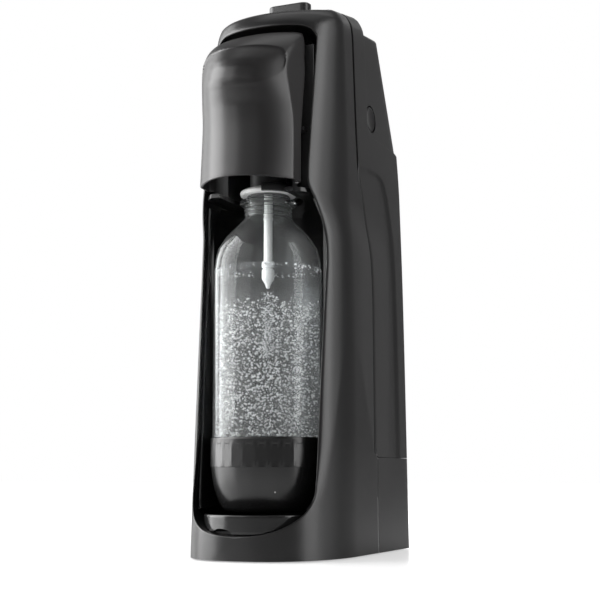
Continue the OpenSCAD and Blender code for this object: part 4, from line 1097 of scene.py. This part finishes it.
# %% Springs
winding = Growth("coil_winding", Turns=6.0, Radius=0.0043, Height=0.029, Wire=0.00045, Closed=0.75)
spiral = winding.node("GeometryNodeCurveSpiral", None, Resolution=28, Rotations=winding["Turns"],
                      Start_Radius=winding["Radius"], End_Radius=winding["Radius"], Height=winding["Height"])
share = winding.node("GeometryNodeSplineParameter")
turn = share * (2 * math.pi)
rise = (share - turn.sine() * winding["Closed"] * (1 / (2 * math.pi))) * winding["Height"]
x, y, _ = winding.split(winding.node("GeometryNodeInputPosition"))
bent = winding.node("GeometryNodeSetPosition", None, spiral,
                    Position=winding.node("ShaderNodeCombineXYZ", None, x, y, rise))
section = winding.node("GeometryNodeCurvePrimitiveCircle", None, Resolution=8, Radius=winding["Wire"])
wire = winding.node("GeometryNodeCurveToMesh", None, bent, section, Fill_Caps=True)
winding.end(wire, steel_finish)
low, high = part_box("button_spring")
spring = winding.grow("button_coil", "housing", move=moved(0, BUTTON_Y, low.z / MM + 0.45), Turns=7.0,
                      Height=high.z - low.z - 0.0009)
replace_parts(spring, "button_spring")
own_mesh(spring)
for side, word in ((1, "right"), (-1, "left")):
    low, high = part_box(f"latch_spring_{word}")
    start = min(abs(low.x), abs(high.x)) / MM
    coil = winding.grow(f"latch_coil_{word}", "housing", Turns=4.0, Radius=0.0046, Wire=0.0005,
                        Height=high.x - low.x - 0.001,
                        move=moved(side * (start + 0.5), LATCH_Y, LATCH_Z, 90 * side))
    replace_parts(coil, f"latch_spring_{word}")
    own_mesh(coil)

# %% [markdown]
# The gas hose is a braided tube. The tree resamples its route, sweeps a round section along
# it and lets the radius swell in fine rings, as the ribs of a reinforced hose do.

# %% Gas hose
ribbed = Growth("ribbed_hose", Radius=0.0025, Ribs=46.0, Depth=0.00012)
route = ribbed.node("GeometryNodeResampleCurve", None, Wire(ribbed, ribbed.entry.outputs[0]), Count=420)
along = ribbed.node("GeometryNodeSplineParameter")
wave = (along * (ribbed["Ribs"] * (2 * math.pi))).sine() * ribbed["Depth"]
thick = ribbed.node("GeometryNodeSetCurveRadius", None, route,
                    Radius=(wave + ribbed["Radius"]) / ribbed["Radius"])
section = ribbed.node("GeometryNodeCurvePrimitiveCircle", None, Resolution=16, Radius=ribbed["Radius"])
tube = ribbed.node("GeometryNodeCurveToMesh", None, thick, section, Fill_Caps=True)
ribbed.end(tube, rubber_finish)
ELBOW_Y, HOSE_Z = 17.2, 352.0
HOSE_ROUTE = [(6, ELBOW_Y, HOSE_Z), (8, ELBOW_Y, HOSE_Z), (10, ELBOW_Y, HOSE_Z), (15, ELBOW_Y - 3, HOSE_Z),
              (16, AXIS_Y + 51.5, HOSE_Z), (16, AXIS_Y + 41, HOSE_Z - 3), (22, AXIS_Y + 34, 338.0),
              (30, AXIS_Y + 22, 334.0), (34.5, AXIS_Y + 8, 326.0), (34.5, AXIS_Y + 1, 314.0),
              (34.5, AXIS_Y, 305.0)]
line = bpy.data.curves.new("hose_route", "CURVE")
line.dimensions = "3D"
spline = line.splines.new("NURBS")
spline.points.add(len(HOSE_ROUTE) - 1)
for point, place in zip(spline.points, HOSE_ROUTE):
    point.co = (*(np.array(place) * MM), 1)
spline.use_endpoint_u, spline.order_u, spline.resolution_u = True, 4, 12
hose = ribbed.grow("ribbed_gas_hose", "housing", start=linked("hose_route", line))
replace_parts(hose, "gas_hose")

# %% [markdown]
# The screws under the base are flat heads with a shallow round recess. One head is made in mesh code and
# the tree sets a copy at each place.

# %% Base screws
SCREW_R, HEAD_R, HEAD_Z = 2.0, 3.6, 0.3
screw_profile = [(0, HEAD_Z + 0.25), (1.2, HEAD_Z + 0.25), (1.25, HEAD_Z + 0.02), (HEAD_R - 0.25, HEAD_Z),
                 (HEAD_R, HEAD_Z + 0.2), (HEAD_R, 0.8), (SCREW_R, 0.8)]
screw_profile += [(SCREW_R - 0.35 * (k % 2), 0.8 + 0.35 * k) for k in range(1, 20)] + [(0, 7.8)]
angles = np.radians(np.arange(24) * 15)
verts = [(r * math.cos(a), r * math.sin(a), z) for r, z in screw_profile for a in angles]
pattern = new_object("screw_pattern", verts, grid_faces(len(screw_profile), 24, closed=True),
                     steel_finish)
setting = Growth("screw_setting", Pitch=0.080)
pitch = setting.node("ShaderNodeCombineXYZ", None, setting["Pitch"], 0.0, 0.0)
row = setting.node("GeometryNodeMeshLine", None, Count=2, Start_Location=(-0.040, 0, 0), Offset=pitch)
one = setting.node("GeometryNodeObjectInfo", {"transform_space": "ORIGINAL"}, pattern, out=4)
setting.end(setting.node("GeometryNodeInstanceOnPoints", None, row, Instance=one), steel_finish)
screws = setting.grow("base_screw_set", "housing", move=moved(0, AXIS_Y + 78, 0))
bpy.data.objects.remove(pattern, do_unlink=True)
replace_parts(screws, "base_screws")

# %% [markdown]
# Inside the bay the walls are one smooth black tunnel: a half round at the back and straight
# sides that run forward to the bezel. It is a plan drawn once and lofted upwards.

# %% The bay liner
LINER_R, LINER_WALL, BEZEL_BACK = 46.0, 2.5, AXIS_Y - 1


def tunnel(r, z):
    arc = np.radians(np.linspace(0, 180, 73))
    return ([(r, BEZEL_BACK, z)] + [(r * math.cos(a), AXIS_Y + r * math.sin(a), z) for a in arc]
            + [(-r, BEZEL_BACK, z)])


def tunnel_row(z):
    return tunnel(LINER_R + LINER_WALL, z) + tunnel(LINER_R, z)[::-1]


liner = capped_loft("bay_tunnel", [tunnel_row(z) for z in (3.8, 100, 200, 268)], bay_finish)
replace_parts(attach(liner, "housing"), "bay_liner")

# %% [markdown]
# The bezel is a slim frame set just inside the opening. Its rounded front edge sits a few
# millimetres behind the skin and draws a fine light line round the bay.

# %% The bezel
edge = opening_half()
edge = edge[(edge[:, 1] <= 265) & (edge[:, 1] >= 34.5)]
skin_y = skin(q_of_x(edge[:, 0], edge[:, 1]), edge[:, 1])[:, 1]
SET_BACK = 7.5
across = [(0.35, None), (0.35, 1.2), (0.6, 0.5), (1.1, 0.1), (1.8, 0.0), (2.5, 0.1), (3.0, 0.5),
          (3.3, 1.2), (4.0, None)]
slope = np.gradient(edge[:, 0], edge[:, 1])
inward = np.stack([np.ones_like(slope), -slope], -1) / np.hypot(1, slope)[:, None]
rows = []
for inset, back in across:
    x, z = edge[:, 0] - inward[:, 0] * inset, edge[:, 1] - inward[:, 1] * inset
    y = np.full_like(x, BEZEL_BACK) if back is None else skin_y + SET_BACK + back
    rows.append(np.stack([x, y, np.clip(z, 34.6, 265)], -1))
verts, faces = both_halves([np.array(rows + rows[:1])])
bezel = new_object("bay_bezel_frame", verts, faces, bay_finish, 40)
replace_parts(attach(bezel, "housing"), "bay_bezel")

# %% [markdown]
# The drip tray is a shallow dish with a rounded front. Its rim is a soft bead, its sides
# follow the round lower corners of the opening, and a finger notch is cut under its front.

# %% The drip tray
TRAY_Z, TRAY_RIM, TRAY_R, TRAY_REACH, TRAY_CLEAR, BEAD = 18.7, 32.5, 44.0, 52.0, 0.7, 0.9


def opening_at(z):
    """Half width of the opening at a height inside its rounded foot."""
    s = np.clip((SILL_Z + LOW_CORNER_H - z) / LOW_CORNER_H, 0, 1) ** 1.25
    return BAY_FOOT_W / 2 * (1 - s * s) ** 0.4


def tray_plan(z, inset):
    a = np.radians(np.linspace(-90, 90, 90))
    r, reach = TRAY_R - inset, TRAY_REACH - inset
    front = a < 0
    x = r * np.where(front, np.cos(a) ** (2 / 2.3), np.cos(a))
    y = AXIS_Y + np.where(front, -reach * np.abs(np.sin(a)), r * np.sin(a))
    x = np.minimum(x, opening_at(z) - TRAY_CLEAR - inset)
    half = np.stack([x, y, np.full_like(x, z)], -1)
    return np.concatenate([half, mirrored(half)[::-1][1:-1]])


rows = [tray_plan(TRAY_Z, 0.6), tray_plan(TRAY_Z + 0.6, 0.1)]
rows += [tray_plan(z, 0) for z in np.linspace(TRAY_Z + 1.2, TRAY_RIM - BEAD, 10)]
rows += [tray_plan(TRAY_RIM - BEAD + BEAD * math.sin(a), BEAD * (1 - math.cos(a)))
         for a in np.radians([25, 50, 70, 90, 110, 130, 155, 180])]
rows += [tray_plan(z, 2.0) for z in (27.0, 23.5)]
rows += [tray_plan(TRAY_Z + 2.6, 2.4), tray_plan(TRAY_Z + 2.1, 3.4)]
tray = capped_loft("drip_tray_dish", rows, tray_finish, 32)
notch = (Matrix.Translation((-13 * MM, (AXIS_Y - TRAY_REACH + 1) * MM, 18.4 * MM))
         @ Matrix.Rotation(math.pi / 2, 4, "X") @ Matrix.Scale(2.0, 4, (1, 0, 0)))
drill(tray, 4.6 * MM, 0.016, notch, 48)
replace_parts(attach(tray, "drip_tray"), "drip_tray")
print("tray faces:", len(tray.data.polygons))

# %% [markdown]
# The bottle stands in a black cup. Flat facets run round its upper band, with crisp upright
# edges between them, and below them the cup tapers in a glossy curve.

# %% The base cup
CUP_R, CUP_RIM, CUP_FLATS, FLAT_LOW, FLAT_HIGH = 42.4, 88.0, 28, 66.5, 83.5


def facets(angle, z):
    """1 on a round level; on the band of flats the radius of a regular polygon."""
    step = 2 * math.pi / CUP_FLATS
    flat = math.cos(step / 2) / np.cos((angle % step) - step / 2)
    band = np.clip(min((z - FLAT_LOW) / 0.6, (FLAT_HIGH - z) / 0.6), 0, 1)
    return 1 + (flat - 1) * band


taper = [(0, 34.6), (20, 34.4), (26, 33.9), (29, 34.1), (31.3, 35.0), (33.4, 36.6), (35.4, 40.0),
         (36.9, 43.6), (38.2, 47.6), (39.4, 51.4), (40.3, 55.0), (41.0, 60.0), (41.4, 64.0),
         (41.6, FLAT_LOW - 0.2), (CUP_R - 0.2, FLAT_LOW + 0.05)]
band = [(CUP_R, z) for z in (FLAT_LOW + 0.65, 72, 78, FLAT_HIGH - 0.65)]
rim = [(CUP_R - 0.1, FLAT_HIGH), (CUP_R - 0.05, 86.5), (CUP_R - 0.3, 87.6), (CUP_R - 0.8, CUP_RIM)]
inside = [(41.3, 87.6), (41.25, 74.5), (39.9, 65.8), (37.9, 57.8), (34.9, 51.8), (30.4, 46.2),
          (25, 41.4), (0, 40.6)]
cup = lathe("base_cup_shell", taper + band + rim + inside, cup_finish, "bottle", (0, AXIS_Y),
            steps=CUP_FLATS * 8, smooth_deg=9, shape=facets)
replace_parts(cup, "base_cup")

# %% [markdown]
# Over the mouth sits the white seat, a low dome that presses a seal on the bottle, with the
# long gas tube hanging from it. These are turned parts with soft edges.

# %% Nozzle seat, tube, tip and seal
SEAT_R, SEAT_LOW, SEAT_TOP, TUBE_R = 21.7, 272.0, 278.0, 3.3
dome = [(10 + (SEAT_R - 10) * math.cos(a), SEAT_LOW + 2.0 + (SEAT_TOP - SEAT_LOW - 2.0) * math.sin(a))
        for a in np.radians(np.linspace(-8, 90, 16))]
seat_profile = [(TUBE_R, SEAT_LOW), (SEAT_R - 1.4, SEAT_LOW), (SEAT_R - 0.6, SEAT_LOW + 0.3)] + dome
seat_profile += [(TUBE_R, SEAT_TOP), (TUBE_R, SEAT_LOW)]
seat = lathe("nozzle_seat_dome", seat_profile, white_finish, "carriage", (0, AXIS_Y))
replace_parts(seat, "nozzle_seat")
tube_profile = [(1.2, 278), (TUBE_R, 278), (TUBE_R, 255.4), (TUBE_R + 0.5, 255.1), (TUBE_R + 0.6, 254.5),
                (TUBE_R + 0.5, 253.9), (TUBE_R, 253.6), (TUBE_R, 214.5), (1.2, 214.5), (1.2, 278)]
tube = lathe("gas_tube", tube_profile, white_finish, "carriage", (0, AXIS_Y), steps=64)
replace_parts(tube, "nozzle_tube")
tip_profile = [(0, 200), (0.9, 200), (1.3, 200.5), (1.6, 202), (2.5, 204.4), (3.6, 206.2), (4.05, 207.2),
               (4.15, 208.2), (4.15, 213.6), (3.9, 214.3), (3.4, 214.5), (0, 214.5)]
tip = lathe("jet_tip", tip_profile, white_finish, "carriage", (0, AXIS_Y), steps=64)
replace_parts(tip, "nozzle_tip")
seal_profile = [(3.6, 270.3), (15.8, 270.3), (16.4, 270.8), (16.4, 271.6), (16.0, 272), (3.6, 272),
                (3.6, 270.3)]
seal = lathe("mouth_seal", seal_profile, seal_finish, "carriage", (0, AXIS_Y), steps=96)
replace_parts(seal, "bottle_seal")

# %% [markdown]
# A dark yoke hugs the right half of the seat and holds the bottle's flange. It is the dome's
# own profile, a little larger, turned part of the way round and closed at both ends.

# %% The neck yoke
YOKE_T, YOKE_CLEAR, YOKE_HALF_TURN = 3.0, 0.3, 78


def dome_line(d, last):
    foot = SEAT_LOW + 2.5
    return [(10 + (SEAT_R + d - 10) * math.cos(a), foot + (SEAT_TOP + d - foot) * math.sin(a))
            for a in np.radians(np.linspace(0, last, 12))]


section = [(SEAT_R + YOKE_CLEAR, SEAT_LOW), (SEAT_R + YOKE_T - 0.5, SEAT_LOW),
           (SEAT_R + YOKE_T, SEAT_LOW + 0.5)] + dome_line(YOKE_T, 52) + dome_line(YOKE_CLEAR, 47)[::-1]
sweep = np.radians(np.linspace(-YOKE_HALF_TURN, YOKE_HALF_TURN, 61))
verts = [(r * math.cos(a), AXIS_Y + r * math.sin(a), z) for a in sweep for r, z in section]
n = len(section)
faces = grid_faces(len(sweep), n, closed=True)
faces += [tuple(range(n)), tuple(range(len(verts) - n, len(verts)))]
yoke = new_object("neck_yoke", verts, faces, inner_finish, 40)
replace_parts(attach(yoke, "carriage"), "neck_collar")

# %% [markdown]
# The neck carries a screw thread. It is the spring's tree again with fewer turns, sunk into
# the neck so that only the ridge stands out.

# %% Neck thread
thread = winding.grow("neck_thread", "bottle", Turns=2.5, Radius=0.0174, Wire=0.0011, Height=0.0085,
                      Closed=0.0, move=moved(0, AXIS_Y, 255.5, 40, "Z"))
thread.data.materials.clear()
thread.data.materials.append(clear_finish)

# %% [markdown]
# The parts inside the machine keep their CAD shape and only get a material.

# %% Materials for the parts that keep their CAD shape
kept = (
    (bay_finish, "bay_floor bay_roof"),
    (inner_finish, "head_frame chassis deck base_plate button_guide cylinder_rest nozzle_carriage"
                   " latch_posts"),
    (rubber_finish, "feet valve_seal"),
    (cast_finish, "valve_holder"),
    (brass_finish, "relief_valve hose_elbow_rear hose_elbow_front cylinder_valve"),
    (steel_finish, "lever_bracket lever_pin actuator_lever valve_pin"),
    (white_finish, "button_stem"),
    (paint_finish, "co2_cylinder"),
)
for finish, names in kept:
    for name in names.split():
        data = nodes[name].data
        data.materials.clear()
        data.materials.append(finish)
print("kept CAD parts:", sum(len(names.split()) for _, names in kept))

# %% [markdown]
# A pale floor and a white world. The camera sees plain white behind the object. The lamps
# and a faint even glow light it, and no lamp is seen by the camera itself.

# %% Floor, world and lamps
FLOOR_GLOW = 0.46
floor_shader = Shader("pale_floor")
floor_shader.finish(Base_Color=(0.9, 0.9, 0.9), Roughness=0.22)
rays = floor_shader.tree.nodes.new("ShaderNodeLightPath")
away = floor_shader.node("ShaderNodeVectorMath", {"operation": "LENGTH"}, floor_shader.place(), out=1)
glow = floor_shader.node("ShaderNodeEmission", None, Color=(1, 1, 1),
                         Strength=away.ramp(0.15, 1.0) * (1.02 - FLOOR_GLOW) + FLOOR_GLOW)
matt = Wire(floor_shader, floor_shader.principled.outputs[0])
lit = floor_shader.node("ShaderNodeAddShader", None, matt, glow)
seen = floor_shader.node("ShaderNodeMixShader", None, Wire(floor_shader, rays.outputs["Is Camera Ray"]),
                         matt, lit)
floor_shader.link(floor_shader.output.inputs["Surface"], seen)
mesh = bpy.data.meshes.new("floor")
mesh.from_pydata([(-6, -6, 0), (6, -6, 0), (6, 6, 0), (-6, 6, 0)], [], [(0, 1, 2, 3)])
mesh.materials.append(floor_shader.material)
floor = linked("floor", mesh)

world = bpy.data.worlds.new("studio")
bpy.context.scene.world = world
world.use_nodes = True
sky = world.node_tree
background = sky.nodes["Background"]
path = sky.nodes.new("ShaderNodeLightPath")
white = sky.nodes.new("ShaderNodeBackground")
for made, strength in ((background, 0.13), (white, 1.0)):
    made.inputs["Color"].default_value = (1, 1, 1, 1)
    made.inputs["Strength"].default_value = strength
blend = sky.nodes.new("ShaderNodeMixShader")
sky.links.new(path.outputs["Is Camera Ray"], blend.inputs[0])
sky.links.new(background.outputs[0], blend.inputs[1])
sky.links.new(white.outputs[0], blend.inputs[2])
sky.links.new(blend.outputs[0], sky.nodes["World Output"].inputs["Surface"])


def softbox(name, azimuth, distance, width, height, radiance, foot=0.02):
    """An upright lamp panel. Azimuth 0 is in front of the object, 90 at its right."""
    data = bpy.data.lights.new(name, "AREA")
    data.shape, data.size, data.size_y = "RECTANGLE", width, height
    data.energy = radiance * math.pi * width * height
    lamp = linked(name, data)
    a = math.radians(azimuth)
    lamp.location = (distance * math.sin(a), -distance * math.cos(a), foot + height / 2)
    aim = Vector((-math.sin(a), math.cos(a), 0))
    lamp.rotation_euler = aim.to_track_quat("-Z", "Y").to_euler()
    lamp.visible_camera = False
    return lamp


softbox("key_left", -72, 1.5, 1.45, 1.9, 6.8)
softbox("fringe_left", -115, 1.5, 0.6, 1.9, 1.9)
softbox("strip_right", 92, 1.5, 0.56, 1.9, 4.2)
softbox("edge_right", 113, 1.52, 0.52, 1.9, 1.1)
softbox("key_wing", -28, 1.6, 0.9, 1.6, 2.2, foot=0.3)
softbox("front_fill", 14, 2.4, 2.2, 1.7, 0.5, foot=0.5)
softbox("backdrop_glow", 187, 2.5, 1.5, 2.0, 1.0)
top = softbox("top", 0, 1.5, 1.2, 1.0, 0.6)
top.location, top.rotation_euler = (0.1, 0.2, 1.5), (0, 0, 0)
bpy.context.scene.view_settings.view_transform = "Standard"
